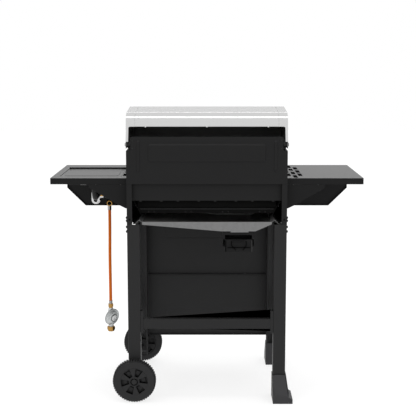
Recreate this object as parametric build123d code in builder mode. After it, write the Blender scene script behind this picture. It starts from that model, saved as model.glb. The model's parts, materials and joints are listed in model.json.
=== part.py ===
from build123d import *
from math import cos, pi, radians, sin, tan
import os

# Gas barbecue grill on a two-wheeled cart, four main burners and a side burner.
# Frame: +Z up, the user stands at -Y, the back is +Y, left is -X and right is +X.
# Origin: on the ground, in the middle of the cart. Millimetres.

os.makedirs("parts", exist_ok=True)

# ---------------------------------------------------------------- driving sizes
SHEET = 1.5                    # thickness of the pressed steel sheet
FIT = 0.05                     # radial clearance of a turning or sliding fit
GAP = 0.4                      # clearance between pieces that move past each other

OVERALL_WIDTH = 1220.0         # over the two side tables
BODY_WIDTH = 622.0             # over the firebox sides and the legs
CART_DEPTH = 488.0             # over the front and rear legs
TABLE_HEIGHT = 883.0           # ground to table top
TABLE_SKIRT = 24.0
PANEL_RETURN = 13.0            # depth of the control panel in front of the legs
TABLE_FRONT = -CART_DEPTH / 2 - PANEL_RETURN
TABLE_REAR = CART_DEPTH / 2 - 35.0

LEG_WIDTH = 49.0
LEG_DEPTH = 50.0
LEG_LIP = 6.0
LEG_TOP = TABLE_HEIGHT - 177.5
LEG_BEND = 4.0                 # outer bend radius of the legs
LEG_END_WHEEL = 45.0           # bottom of the two legs that carry the axle
LEG_END_FOOT = 12.0            # bottom of the two legs that stand in feet

WHEEL_RADIUS = 85.0
WHEEL_WIDTH = 41.0
HUB_RADIUS = 14.0
AXLE_RADIUS = 5.0
TREAD_TEETH = 52

FOOT_HEIGHT = 106.0
FOOT_STEP = 37.0               # height of the upright block at the bottom of a foot
FOOT_WALL = 2.5
FOOT_FLARE = 24.0              # how far the block stands out of the leg sideways
FOOT_REACH = 59.0              # how far the block reaches to the front or rear

SIDE_WIDTH = 21.0              # thickness of each hollow side of the firebox
FIREBOX_WIDTH = BODY_WIDTH - 2 * SIDE_WIDTH
FIREBOX_FRONT = 83.0 - CART_DEPTH / 2          # outer face of the firebox front wall
FIREBOX_REAR = CART_DEPTH / 2 - 20.0           # outer face of the firebox rear wall
FIREBOX_FLOOR_EDGE = TABLE_HEIGHT - 86.0       # bottom edge of the rear wall
FUNNEL_WIDTH = FIREBOX_WIDTH - 62.0            # the firebox narrows to this above the drip tray
FUNNEL_BOTTOM = TABLE_HEIGHT - 147.0
RIM_FRONT = TABLE_HEIGHT + 22.0                # top of the firebox at the front
RIM_REAR = TABLE_HEIGHT + 110.0                # top of the firebox at the rear
RIM_BREAK = FIREBOX_REAR - 74.0                # where the sloping rim turns level

REAR_PANEL_BOTTOM = TABLE_HEIGHT - 18.5
REAR_PANEL_TOP = TABLE_HEIGHT + 164.5
REAR_PANEL_NECK = FIREBOX_WIDTH + 7.0          # width of the rear panel beside the lid

BURNERS = 4
BURNER_PITCH = FIREBOX_WIDTH / BURNERS
BURNER_RADIUS = 12.5
BURNER_HEIGHT = TABLE_HEIGHT - 106.5
TAMER_WIDTH = 92.0
TAMER_RISE = 34.0
TAMER_SEAT = FIREBOX_FLOOR_EDGE + 4.0
GRATE_TOP = RIM_FRONT - 8.0
GRATE_THICKNESS = 11.0
GRATE_BARS = 15
RACK_HEIGHT = RIM_REAR - 21.0
RACK_DEPTH = 102.0
RACK_REAR = FIREBOX_REAR - 18.0
RACK_FRONT = RACK_REAR - RACK_DEPTH
RACK_RAIL = 3.0

PANEL_BOTTOM = LEG_TOP + 1.0
PANEL_CORNER_DROP = 73.5       # upright stretch of each end of the control panel
PANEL_BOTTOM_WIDTH = OVERALL_WIDTH - 160.0
KNOB_RADIUS = 23.0
KNOB_DEPTH = 25.0
KNOB_PUSH = 4.0
BEZEL_RADIUS = 33.0
BEZEL_DEPTH = 6.0
STEM_RADIUS = 4.0
MANIFOLD_RADIUS = 9.5
MANIFOLD_Y = TABLE_FRONT + 52.0
VALVE_RADIUS = 13.0

HINGE_Y = FIREBOX_REAR - 14.0
HINGE_Z = RIM_REAR + 21.0
HINGE_PIN_RADIUS = 4.0
HINGE_BOSS_RADIUS = 11.0
LID_WIDTH = BODY_WIDTH + 5.6
LID_CAP_BAND = 35.0            # width of the band that each end cap folds over the skin
LID_REAR_EDGE = (HINGE_Y - 10.0, HINGE_Z + 69.0)
LID_BEND_LOW = (HINGE_Y - 13.0, HINGE_Z + 106.0)
LID_BEND_HIGH = (HINGE_Y - 50.0, HINGE_Z + 121.5)
LID_CROWN = (FIREBOX_FRONT + 141.0, HINGE_Z + 135.0)
LID_NOSE_RADIUS = 145.0
LID_NOSE_TURN = 86.0
LID_FRONT_DROP = 102.0
HANDLE_RADIUS = 11.0
HANDLE_LENGTH = 480.0
HANDLE_STANDOFF = 52.0
HANDLE_DROP = 69.0             # handle axis below the start of the flat front face
HANDLE_ARM_X = 205.0
GAUGE_RADIUS = 26.0
GAUGE_DROP = 27.0

TRAY_WIDTH = FUNNEL_WIDTH - 14.0
TRAY_REAR = CART_DEPTH / 2 - 1.0
TRAY_FRONT = FIREBOX_FRONT + 11.0
TRAY_RIM = FUNNEL_BOTTOM - 20.0
TRAY_WALL = 11.0               # height of the tray's upright edge above its sloping floor
TRAY_FLOOR = TRAY_RIM - 37.0
TRAY_LIP = TRAY_RIM - 8.5
OUTLET_X = -123.0
OUTLET_WIDTH = 131.0
OUTLET_Y = TRAY_REAR - 53.0
OUTLET_RADIUS = 16.0
CUP_WIDTH = 107.0
CUP_DEPTH = 76.0
CUP_TOP = TRAY_FLOOR - 33.0
CUP_BOTTOM = CUP_TOP - 49.0

CROSSBAR_BOTTOM = 287.5
CROSSBAR_HEIGHT = 39.5
CROSSBAR_END = 11.5
CROSSBAR_END_HEIGHT = 91.0
FRONT_SPLIT = 400.5
FRONT_BOTTOM = 126.0

SLOT_LENGTH = 58.0
SLOT_WIDTH = 11.0
SLOT_PITCH_X = 23.0
SLOT_PITCH_Y = 111.0
SLOT_START = 15.0              # first column of slots, from the firebox side
WELL_LEFT = BODY_WIDTH / 2 + 27.0              # opening for the side burner in the right table
WELL_RIGHT = OVERALL_WIDTH / 2 - 29.0
WELL_FRONT = TABLE_FRONT + 138.0
WELL_REAR = TABLE_REAR - 61.0
WELL_STEP = 1.0                # the side burner's lid lies this far below the table top
BOWL_DEPTH = 28.0
SIDE_LIP = 6.5                 # height of the upright lip that lifts the side burner's lid
GUSSET_REACH = 148.0
GUSSET_DROP = 95.0
INLET_SPACING = 37.5           # from the hose's inlet to the side burner's valve
INLET_X = (WELL_LEFT + WELL_RIGHT) / 2 - INLET_SPACING

HOSE_RADIUS = 6.5
HOSE_TOP = TABLE_HEIGHT - 190.0
HOSE_DROP = 403.0
HOSE_BOTTOM = HOSE_TOP - HOSE_DROP
FERRULE_LENGTH = 23.0

# ---------------------------------------------------------------- derived places
BODY_HALF = BODY_WIDTH / 2
CART_HALF = CART_DEPTH / 2
TABLE_HALF = OVERALL_WIDTH / 2
LEG_INNER = BODY_HALF - LEG_WIDTH
LEG_X = BODY_HALF - LEG_WIDTH / 2
LEG_Y = CART_HALF - LEG_DEPTH / 2
FIREBOX_HALF = FIREBOX_WIDTH / 2
FUNNEL_HALF = FUNNEL_WIDTH / 2
KNOB_Z = BURNER_HEIGHT
MANIFOLD_Z = KNOB_Z - VALVE_RADIUS - MANIFOLD_RADIUS
BURNER_XS = [BURNER_PITCH * (i - (BURNERS - 1) / 2) for i in range(BURNERS)]
PANEL_TOP = TABLE_HEIGHT - TABLE_SKIRT - GAP
PANEL_BACK = TABLE_FRONT + PANEL_RETURN
BEZEL_FRONT = TABLE_FRONT - BEZEL_DEPTH
KNOB_BACK = BEZEL_FRONT - KNOB_PUSH - GAP
KNOB_FRONT = KNOB_BACK - KNOB_DEPTH
LID_HALF = LID_WIDTH / 2
SKIN_HALF = LID_HALF - LID_CAP_BAND
WELL_X = (WELL_LEFT + WELL_RIGHT) / 2
KNOB_XS = BURNER_XS + [WELL_X]
INLET_BOTTOM = HOSE_TOP + FERRULE_LENGTH
WELL_Y = (WELL_FRONT + WELL_REAR) / 2
AXLE_Z = WHEEL_RADIUS
BURNER_RAIL_Y = FIREBOX_REAR - 28.0
BURNER_RAIL_TOP = BURNER_HEIGHT - BURNER_RADIUS


# ---------------------------------------------------------------- helpers
def block(x0, x1, y0, y1, z0, z1, mode=Mode.ADD):
    """A box between two opposite corners, in the builder that is open."""
    with Locations(((x0 + x1) / 2, (y0 + y1) / 2, (z0 + z1) / 2)):
        Box(abs(x1 - x0), abs(y1 - y0), abs(z1 - z0), mode=mode)


def rod(start, end, radius, mode=Mode.ADD):
    """A round bar from one point to another, in the builder that is open."""
    axis = Vector(*end) - Vector(*start)
    with BuildSketch(Plane(origin=start, z_dir=axis)) as section:
        Circle(radius)
    extrude(section.sketch, amount=axis.length, mode=mode)


def finish(builder, name):
    """Name a finished sub-part and write it out."""
    builder.part.label = name
    export_step(builder.part, f"parts/{name}.step")


def mirrored(builder, name):
    """Write the mirror image of a right-hand piece as its left-hand partner."""
    with BuildPart() as partner:
        mirror(builder.part, about=Plane.YZ)
    finish(partner, name)
    return partner


# ---------------------------------------------------------------- cart: legs
def leg(name, side, end, bottom):
    """A lipped channel that opens towards the middle of the cart.

    side is -1 for left and 1 for right, end is -1 for front and 1 for rear.
    """
    with BuildPart() as piece:
        with BuildSketch(Plane.XY.offset(bottom)):
            with Locations((side * LEG_X, end * LEG_Y)):
                RectangleRounded(LEG_WIDTH, LEG_DEPTH, LEG_BEND)
                RectangleRounded(LEG_WIDTH - 2 * SHEET, LEG_DEPTH - 2 * SHEET, LEG_BEND - SHEET,
                                 mode=Mode.SUBTRACT)
            with Locations((side * LEG_X, end * (LEG_Y - LEG_DEPTH / 2))):
                Rectangle(LEG_WIDTH - 2 * (SHEET + LEG_LIP), 3 * SHEET, mode=Mode.SUBTRACT)
        extrude(amount=LEG_TOP - bottom)
        if side > 0:
            # boxed plate that carries the axle
            web = end * (CART_HALF - SHEET)
            block(LEG_X - 17, LEG_X + 17, end * (LEG_Y - 8), end * (LEG_Y - 8 + SHEET),
                  AXLE_Z - 25, AXLE_Z + 25)
            block(LEG_INNER + SHEET / 2, BODY_HALF - SHEET / 2, end * (LEG_Y - 8), web,
                  AXLE_Z + 25 - SHEET, AXLE_Z + 25)
            block(LEG_INNER + SHEET / 2, BODY_HALF - SHEET / 2, end * (LEG_Y - 8), web,
                  AXLE_Z - 25, AXLE_Z - 25 + SHEET)
            with BuildSketch(Plane.XZ):
                with Locations((LEG_X, AXLE_Z)):
                    Circle(AXLE_RADIUS + FIT)
            extrude(amount=CART_DEPTH, both=True, mode=Mode.SUBTRACT)
    finish(piece, name)
    return piece


leg_front_left = leg("leg_front_left", -1, -1, LEG_END_FOOT)
leg_front_right = leg("leg_front_right", 1, -1, LEG_END_WHEEL)
leg_rear_left = leg("leg_rear_left", -1, 1, LEG_END_FOOT)
leg_rear_right = leg("leg_rear_right", 1, 1, LEG_END_WHEEL)


# ---------------------------------------------------------------- cart: feet
def foot(name, end):
    """A moulded boot round the end of a left leg, flared outwards and towards its end."""
    inner_x = -(LEG_INNER - FOOT_WALL)
    outer_x = -(BODY_HALF + FOOT_WALL)
    inner_y = end * (CART_HALF - LEG_DEPTH - FOOT_WALL)
    outer_y = end * (CART_HALF + FOOT_WALL)
    toe_x = -(BODY_HALF + FOOT_FLARE + FOOT_WALL)
    toe_y = end * (CART_HALF + FOOT_REACH)
    with BuildPart() as piece:
        with BuildSketch(Plane.XY):
            with Locations(((inner_x + toe_x) / 2, (inner_y + toe_y) / 2)):
                RectangleRounded(abs(toe_x - inner_x), abs(toe_y - inner_y), 3)
        extrude(amount=FOOT_STEP)
        shoulder_x = outer_x - 9
        with BuildSketch(Plane.XY.offset(FOOT_STEP)):
            with Locations(((inner_x + shoulder_x) / 2, (inner_y + toe_y) / 2)):
                RectangleRounded(abs(shoulder_x - inner_x), abs(toe_y - inner_y), 3)
        with BuildSketch(Plane.XY.offset(FOOT_HEIGHT)):
            with Locations(((inner_x + outer_x) / 2, (inner_y + outer_y) / 2)):
                RectangleRounded(abs(outer_x - inner_x), abs(outer_y - inner_y), 3)
        loft()
        socket_w = LEG_WIDTH
        socket_d = LEG_DEPTH
        with BuildSketch(Plane.XY.offset(LEG_END_FOOT)):
            with Locations((-LEG_X, end * LEG_Y)):
                RectangleRounded(socket_w, socket_d, LEG_BEND)
        extrude(amount=FOOT_HEIGHT, mode=Mode.SUBTRACT)
        plug_w = LEG_WIDTH - 4 * SHEET
        plug_d = LEG_DEPTH - 4 * SHEET
        with BuildSketch(Plane.XY.offset(LEG_END_FOOT)):
            with Locations((-LEG_X, end * LEG_Y)):
                Rectangle(plug_w, SHEET)
                Rectangle(SHEET, plug_d)
        extrude(amount=FOOT_STEP)
    finish(piece, name)
    return piece


foot_front_left = foot("foot_front_left", -1)
foot_rear_left = foot("foot_rear_left", 1)

# ---------------------------------------------------------------- cart: cross members
with BuildPart() as rear_crossbar:
    bar_end = LEG_INNER - CROSSBAR_END
    bar_rear = CART_HALF - 3
    bar_front = bar_rear - 24
    bar_top = CROSSBAR_BOTTOM + CROSSBAR_HEIGHT
    block(-bar_end, bar_end, bar_front, bar_rear, CROSSBAR_BOTTOM, bar_top)
    block(-bar_end - 1, bar_end + 1, bar_front - 1, bar_rear - SHEET,
          CROSSBAR_BOTTOM + SHEET, bar_top - SHEET, mode=Mode.SUBTRACT)
    bar_mid = CROSSBAR_BOTTOM + CROSSBAR_HEIGHT / 2 + 8
    with BuildSketch(Plane.XZ.offset(-bar_rear - 1)):
        for side in (-1, 1):
            with Locations((side * (LEG_INNER - CROSSBAR_END / 2), bar_mid)):
                SlotOverall(CROSSBAR_END_HEIGHT, CROSSBAR_END, rotation=90)
    extrude(amount=bar_rear - bar_front + 1)
finish(rear_crossbar, "rear_crossbar")

with BuildPart() as side_rails:
    rail_run = CART_HALF - LEG_DEPTH
    rail_in = BODY_HALF - 20
    for side in (-1, 1):
        x_out = side * BODY_HALF
        x_in = side * rail_in
        block(x_in, x_out, -rail_run, rail_run, CROSSBAR_BOTTOM, bar_top)
        block(x_in - side, x_out - side * SHEET, -rail_run - 1, rail_run + 1,
              CROSSBAR_BOTTOM + SHEET, bar_top - SHEET, mode=Mode.SUBTRACT)
finish(side_rails, "side_rails")


# ---------------------------------------------------------------- cart: front panels
PRESS_SHORT = 85.0              # from the panel's edge to the short side of the trapezium
PRESS_LONG = 62.0
PRESS_RISE = 1.2
PANEL_FOLD = 14.0


def front_panel(name, bottom, top, crest, foot_line):
    """A pressed panel between the front legs, with folded edges and a raised trapezium.

    crest is the height of the short side of the trapezium, foot_line that of the long one.
    """
    face_y = -CART_HALF
    half = LEG_INNER
    short = half - PRESS_SHORT
    long = half - PRESS_LONG
    with BuildPart() as piece:
        block(-half, half, face_y, face_y + PANEL_FOLD, bottom, top)
        block(-half + SHEET, half - SHEET, face_y + SHEET, face_y + PANEL_FOLD + 1,
              bottom + SHEET, top - SHEET, mode=Mode.SUBTRACT)
        with BuildSketch(Plane.XZ.offset(-face_y)):
            with BuildLine():
                Polyline((-short, crest), (short, crest), (long, foot_line), (-long, foot_line),
                         close=True)
            make_face()
        extrude(amount=PRESS_RISE, taper=30)
        with BuildSketch(Plane.XZ.offset(-face_y - SHEET)):
            with BuildLine():
                Polyline((-short + 1, crest), (short - 1, crest), (long - 1, foot_line),
                         (-long + 1, foot_line), close=True)
            make_face()
            offset(amount=-SHEET, mode=Mode.REPLACE)
        extrude(amount=PRESS_RISE, taper=30, mode=Mode.SUBTRACT)
    finish(piece, name)
    return piece


front_panel_upper = front_panel("front_panel_upper", FRONT_SPLIT + GAP, PANEL_BOTTOM - GAP,
                                PANEL_BOTTOM - 146.5, PANEL_BOTTOM - 66.5)
front_panel_lower = front_panel("front_panel_lower", FRONT_BOTTOM, FRONT_SPLIT,
                                FRONT_BOTTOM + 117.0, FRONT_BOTTOM + 46.0)

# ---------------------------------------------------------------- cart: axle and wheels
WHEEL_IN = CART_HALF + GAP
HUB_OUT = WHEEL_IN + WHEEL_WIDTH + 3
CAP_RADIUS = 11.0
CAP_LENGTH = 6.5
with BuildPart() as wheel_axle:
    cap = HUB_OUT + GAP
    with BuildSketch(Plane.YZ.offset(LEG_X)):
        with BuildLine():
            Line((-cap - CAP_LENGTH, AXLE_Z), (cap + CAP_LENGTH, AXLE_Z))
            for end in (-1, 1):
                Polyline((0, AXLE_Z + AXLE_RADIUS), (end * cap, AXLE_Z + AXLE_RADIUS),
                         (end * cap, AXLE_Z + CAP_RADIUS), (end * (cap + 2), AXLE_Z + CAP_RADIUS),
                         (end * (cap + 5), AXLE_Z + CAP_RADIUS - 3),
                         (end * (cap + CAP_LENGTH), AXLE_Z + CAP_RADIUS - 7),
                         (end * (cap + CAP_LENGTH), AXLE_Z))
        make_face()
    revolve(axis=Axis((LEG_X, 0, AXLE_Z), (0, 1, 0)))
finish(wheel_axle, "wheel_axle")


WEB_RECESS = 2.5                # the web lies this far inside the rim on each face
POCKET_DEPTH = 15.5
POCKET_PLUG = 5.0               # height of the block on the floor of each pocket
POCKET_INNER = HUB_RADIUS + 6.5
POCKET_OUTER = WHEEL_RADIUS - 33
POCKET_TURN = 53.0
TOOTH_GAP = 4.6


def wheel(name, end):
    """A moulded wheel: hub, six spokes between blind pockets on each face, and a ribbed tread."""
    y_in = end * (WHEEL_IN + 2)
    y_out = end * (WHEEL_IN + 2 + WHEEL_WIDTH)
    web_in = y_in + end * WEB_RECESS
    web_out = y_out - end * WEB_RECESS
    rim = WHEEL_RADIUS - 29
    profile = [
        (end * WHEEL_IN, AXLE_RADIUS + FIT), (end * WHEEL_IN, HUB_RADIUS), (web_in, HUB_RADIUS + 4),
        (web_in, rim), (y_in, rim + 3), (y_in, WHEEL_RADIUS - 5), (y_in + end * 6, WHEEL_RADIUS),
        (y_out - end * 6, WHEEL_RADIUS), (y_out, WHEEL_RADIUS - 5), (y_out, rim), (web_out, rim - 3),
        (web_out, HUB_RADIUS + 3), (end * HUB_OUT, HUB_RADIUS), (end * HUB_OUT, AXLE_RADIUS + FIT),
    ]
    with BuildPart() as piece:
        with BuildSketch(Plane.YZ.offset(LEG_X)):
            with BuildLine():
                Polyline([(y, AXLE_Z + r) for y, r in profile], close=True)
            make_face()
        revolve(axis=Axis((LEG_X, 0, AXLE_Z), (0, 1, 0)))
        with BuildSketch(Plane.XZ.offset(-(y_out + y_in) / 2)):
            with Locations((LEG_X, AXLE_Z)):
                with PolarLocations(WHEEL_RADIUS, TREAD_TEETH, start_angle=180 / TREAD_TEETH):
                    Rectangle(TOOTH_GAP, TOOTH_GAP)
        extrude(amount=WHEEL_WIDTH / 2 + 1, both=True, mode=Mode.SUBTRACT)
        for web, inwards in ((web_out, end), (web_in, -end)):
            with BuildSketch(Plane.XZ.offset(-web)):
                with Locations((LEG_X, AXLE_Z)):
                    with PolarLocations((POCKET_INNER + POCKET_OUTER) / 2, 6, start_angle=POCKET_TURN):
                        Trapezoid(30, POCKET_OUTER - POCKET_INNER, 76, rotation=90)
            extrude(amount=inwards * POCKET_DEPTH, mode=Mode.SUBTRACT)
            with BuildSketch(Plane.XZ.offset(-web + inwards * (POCKET_DEPTH - POCKET_PLUG))):
                with Locations((LEG_X, AXLE_Z)):
                    with PolarLocations((POCKET_INNER + POCKET_OUTER) / 2, 6, start_angle=POCKET_TURN):
                        Rectangle(POCKET_OUTER - POCKET_INNER - 16, 15)
            extrude(amount=inwards * (POCKET_PLUG + 0.5))
    finish(piece, name)
    return piece


wheel_front = wheel("wheel_front", -1)
wheel_rear = wheel("wheel_rear", 1)

# ---------------------------------------------------------------- firebox: sides
EAR_THICKNESS = 4.0
SIDE_OUTLINE = [
    (-CART_HALF, LEG_TOP), (CART_HALF, LEG_TOP), (CART_HALF, RIM_REAR), (RIM_BREAK, RIM_REAR),
    (FIREBOX_FRONT - 4, RIM_FRONT), (-CART_HALF, RIM_FRONT - 8),
]

with BuildPart() as firebox_side_right:
    with BuildSketch(Plane.YZ.offset(FIREBOX_HALF)):
        with BuildLine():
            Polyline(SIDE_OUTLINE, close=True)
        make_face()
    extrude(amount=BODY_HALF - FIREBOX_HALF)
    with BuildSketch(Plane.YZ.offset(FIREBOX_HALF + SHEET)):
        with BuildLine():
            Polyline(SIDE_OUTLINE, close=True)
        make_face()
        offset(amount=-SHEET, kind=Kind.INTERSECTION, mode=Mode.REPLACE)
    extrude(amount=BODY_HALF - FIREBOX_HALF - 2 * SHEET, mode=Mode.SUBTRACT)
    # open underneath, and no inner wall below the firebox or in front of it
    inner = CART_HALF - SHEET
    block(FIREBOX_HALF + SHEET, BODY_HALF - SHEET, -inner, inner, LEG_TOP - 1, LEG_TOP + 2 * SHEET,
          mode=Mode.SUBTRACT)
    block(FIREBOX_HALF - 1, FIREBOX_HALF + SHEET, -inner, inner, LEG_TOP - 1, FIREBOX_FLOOR_EDGE,
          mode=Mode.SUBTRACT)
    block(FIREBOX_HALF - 1, FIREBOX_HALF + SHEET, -inner, FIREBOX_FRONT, LEG_TOP - 1,
          RIM_FRONT - 12, mode=Mode.SUBTRACT)
    # tongues that the legs are bolted to
    for y in (-LEG_Y, LEG_Y):
        block(BODY_HALF - 2 * SHEET, BODY_HALF - SHEET, y - 17, y + 17, LEG_TOP - 42, LEG_TOP + 30)
    # ear for the hinge pin, and the stay that holds the upper corner of the rear panel
    ear_x = FIREBOX_HALF + SHEET - EAR_THICKNESS
    with BuildSketch(Plane.YZ.offset(ear_x)):
        with Locations((HINGE_Y, HINGE_Z)):
            Circle(HINGE_BOSS_RADIUS)
        with Locations((HINGE_Y, (RIM_REAR + HINGE_Z) / 2 - 2)):
            Rectangle(2 * HINGE_BOSS_RADIUS, HINGE_Z - RIM_REAR + 4)
    extrude(amount=EAR_THICKNESS)
    stay_top = REAR_PANEL_TOP - 4
    block(FIREBOX_HALF - 15, FIREBOX_HALF + SHEET, inner, CART_HALF, RIM_REAR - 8, stay_top)
    block(FIREBOX_HALF, FIREBOX_HALF + SHEET, HINGE_Y + 8, CART_HALF, RIM_REAR - 8, stay_top)
    rod((ear_x - 1, HINGE_Y, HINGE_Z), (ear_x + EAR_THICKNESS + 1, HINGE_Y, HINGE_Z),
        HINGE_PIN_RADIUS, mode=Mode.SUBTRACT)
    # shelf for the end rail of the warming rack
    shelf = RACK_HEIGHT - RACK_RAIL
    block(FIREBOX_HALF - 11, FIREBOX_HALF + SHEET, RACK_FRONT, RACK_REAR, shelf - SHEET, shelf)
firebox_side_left = mirrored(firebox_side_right, "firebox_side_left")
# the gas manifold leaves the body through the right side
with BuildPart() as firebox_side_right_bored:
    add(firebox_side_right.part)
    rod((FIREBOX_HALF - 20, MANIFOLD_Y, MANIFOLD_Z), (BODY_HALF + 20, MANIFOLD_Y, MANIFOLD_Z),
        MANIFOLD_RADIUS + 3, mode=Mode.SUBTRACT)
finish(firebox_side_right_bored, "firebox_side_right")

# ---------------------------------------------------------------- firebox: tub
TAB_SPACING = 81.0
TAB_WIDTH = 9.0
TAB_DEPTH = 16.0
LEDGE_DEPTH = 12.0
SKIRT_TOP = FIREBOX_FLOOR_EDGE + 14
with BuildPart() as firebox_tub:
    # four sheets, spot-welded at the corners: front wall, rear wall and two sloping skirts
    wall = FIREBOX_HALF
    rim_rear_wall = REAR_PANEL_TOP - 80
    ledge = GRATE_TOP - GRATE_THICKNESS
    block(-wall, wall, FIREBOX_FRONT, FIREBOX_FRONT + SHEET, FUNNEL_BOTTOM, RIM_FRONT - SHEET)
    block(-wall, wall, FIREBOX_FRONT, FIREBOX_FRONT + LEDGE_DEPTH, ledge - SHEET, ledge)
    block(-wall, wall, FIREBOX_REAR - SHEET, FIREBOX_REAR, FIREBOX_FLOOR_EDGE, rim_rear_wall)
    block(-wall, wall, FIREBOX_REAR - SHEET, CART_HALF, rim_rear_wall, rim_rear_wall + SHEET)
    block(-wall, wall, FIREBOX_REAR - LEDGE_DEPTH, FIREBOX_REAR, ledge - SHEET, ledge)
    # tabs that carry the flame tamers
    for x in BURNER_XS:
        for dx in (-TAB_SPACING / 2, TAB_SPACING / 2):
            x0 = x + dx - TAB_WIDTH / 2
            x1 = x0 + TAB_WIDTH
            tab_top = TAMER_SEAT - GAP
            block(x0, x1, FIREBOX_REAR - TAB_DEPTH, FIREBOX_REAR, tab_top - SHEET, tab_top)
            block(x0, x1, FIREBOX_REAR - SHEET, FIREBOX_REAR, FIREBOX_FLOOR_EDGE - 4, FIREBOX_FLOOR_EDGE)
            block(x0, x1, FIREBOX_FRONT, FIREBOX_FRONT + TAB_DEPTH, tab_top - SHEET, tab_top)
    # trim the front wall to the funnel and bore it for the burners
    with BuildSketch(Plane.XZ.offset(-FIREBOX_FRONT + 1)):
        for side in (-1, 1):
            with BuildLine():
                Polyline((side * (wall + 1), FIREBOX_FLOOR_EDGE + 1),
                         (side * FUNNEL_HALF, FUNNEL_BOTTOM - 1),
                         (side * (wall + 1), FUNNEL_BOTTOM - 1), close=True)
            make_face()
        with Locations([(x, BURNER_HEIGHT) for x in BURNER_XS]):
            Circle(BURNER_RADIUS + 1)
    extrude(amount=-(SHEET + 2), mode=Mode.SUBTRACT)
    # skirts that lead the fat to the tray
    skirt_front = FIREBOX_FRONT + SHEET + FIT
    with BuildSketch(Plane.XZ.offset(-skirt_front)):
        for side in (-1, 1):
            with BuildLine():
                Polyline((side * wall, SKIRT_TOP), (side * wall, FIREBOX_FLOOR_EDGE),
                         (side * FUNNEL_HALF, FUNNEL_BOTTOM),
                         (side * (FUNNEL_HALF - SHEET), FUNNEL_BOTTOM),
                         (side * (wall - SHEET), FIREBOX_FLOOR_EDGE + 1),
                         (side * (wall - SHEET), SKIRT_TOP), close=True)
            make_face()
    extrude(amount=-(BURNER_RAIL_Y - skirt_front))
    for side in (-1, 1):
        block(side * wall, side * (wall - SHEET), BURNER_RAIL_Y - 2, FIREBOX_REAR - SHEET - FIT,
              FIREBOX_FLOOR_EDGE, SKIRT_TOP)
finish(firebox_tub, "firebox_tub")

# ---------------------------------------------------------------- firebox: rear panel
FIELD_Z = REAR_PANEL_TOP - 63.5
FIELD_HEIGHT = 71.5
FIELD_CORNER = 13.0
FIELD_RISE = 4.0
FIELD_SLOPE = 50.0
RIB_Z = REAR_PANEL_TOP - 75.5
RIB_HEIGHT = 122.0
RIB_WIDTH = 15.0
RIB_RISE = 3.5
with BuildPart() as rear_panel:
    y0 = CART_HALF
    y1 = CART_HALF + SHEET
    neck = REAR_PANEL_NECK / 2
    chamfer_cut = 5.0
    with BuildSketch(Plane.XZ.offset(-y0)):
        with BuildLine():
            Polyline((-BODY_HALF, REAR_PANEL_BOTTOM), (BODY_HALF, REAR_PANEL_BOTTOM),
                     (BODY_HALF, RIM_REAR - 4), (BODY_HALF - 4, RIM_REAR),
                     (neck + 3, RIM_REAR), (neck, RIM_REAR + 3),
                     (neck, REAR_PANEL_TOP - chamfer_cut), (neck - chamfer_cut, REAR_PANEL_TOP),
                     (-neck + chamfer_cut, REAR_PANEL_TOP), (-neck, REAR_PANEL_TOP - chamfer_cut),
                     (-neck, RIM_REAR + 3), (-neck - 3, RIM_REAR),
                     (-BODY_HALF + 4, RIM_REAR), (-BODY_HALF, RIM_REAR - 4), close=True)
        make_face()
    extrude(amount=-SHEET)
    # raised field and two upright ribs, pressed out of the sheet
    field_width = FIREBOX_WIDTH - 124
    with BuildSketch(Plane.XZ.offset(-y1)):
        with Locations((0, FIELD_Z)):
            RectangleRounded(field_width, FIELD_HEIGHT, FIELD_CORNER)
    extrude(amount=-FIELD_RISE, taper=FIELD_SLOPE)
    with BuildSketch(Plane.XZ.offset(-y0)):
        with Locations((0, FIELD_Z)):
            RectangleRounded(field_width - 2 * SHEET, FIELD_HEIGHT - 2 * SHEET, FIELD_CORNER - SHEET)
    extrude(amount=-FIELD_RISE, taper=FIELD_SLOPE, mode=Mode.SUBTRACT)
    for side in (-1, 1):
        with BuildSketch(Plane.XZ.offset(-y1)):
            with Locations((side * (FIREBOX_HALF - 25), RIB_Z)):
                SlotOverall(RIB_HEIGHT, RIB_WIDTH, rotation=90)
        extrude(amount=-RIB_RISE, taper=45)
        with BuildSketch(Plane.XZ.offset(-y0)):
            with Locations((side * (FIREBOX_HALF - 25), RIB_Z)):
                SlotOverall(RIB_HEIGHT - 2 * SHEET, RIB_WIDTH - 2 * SHEET, rotation=90)
        extrude(amount=-RIB_RISE, taper=45, mode=Mode.SUBTRACT)
    # bottom fold
    block(-FIREBOX_HALF + 1, FIREBOX_HALF - 1, y0 - 14, y0 + SHEET / 2, REAR_PANEL_BOTTOM,
          REAR_PANEL_BOTTOM + SHEET)
finish(rear_panel, "rear_panel")

# ---------------------------------------------------------------- firebox: burner rail
with BuildPart() as burner_rail:
    rail_low = BURNER_RAIL_TOP - 20
    slope = (FIREBOX_HALF - FUNNEL_HALF) / (FIREBOX_FLOOR_EDGE - FUNNEL_BOTTOM)
    half_low = FUNNEL_HALF + slope * (rail_low - FUNNEL_BOTTOM)
    half_top = FUNNEL_HALF + slope * (BURNER_RAIL_TOP - FUNNEL_BOTTOM)
    with BuildSketch(Plane.XZ.offset(-BURNER_RAIL_Y)):
        with BuildLine():
            Polyline((-half_low, rail_low), (half_low, rail_low), (half_top, BURNER_RAIL_TOP),
                     (-half_top, BURNER_RAIL_TOP), close=True)
        make_face()
    extrude(amount=-SHEET)
    flange_half = half_top - 3 * SHEET
    block(-flange_half, flange_half, BURNER_RAIL_Y - 15, BURNER_RAIL_Y + SHEET,
          BURNER_RAIL_TOP - SHEET, BURNER_RAIL_TOP)
finish(burner_rail, "burner_rail")

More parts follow.
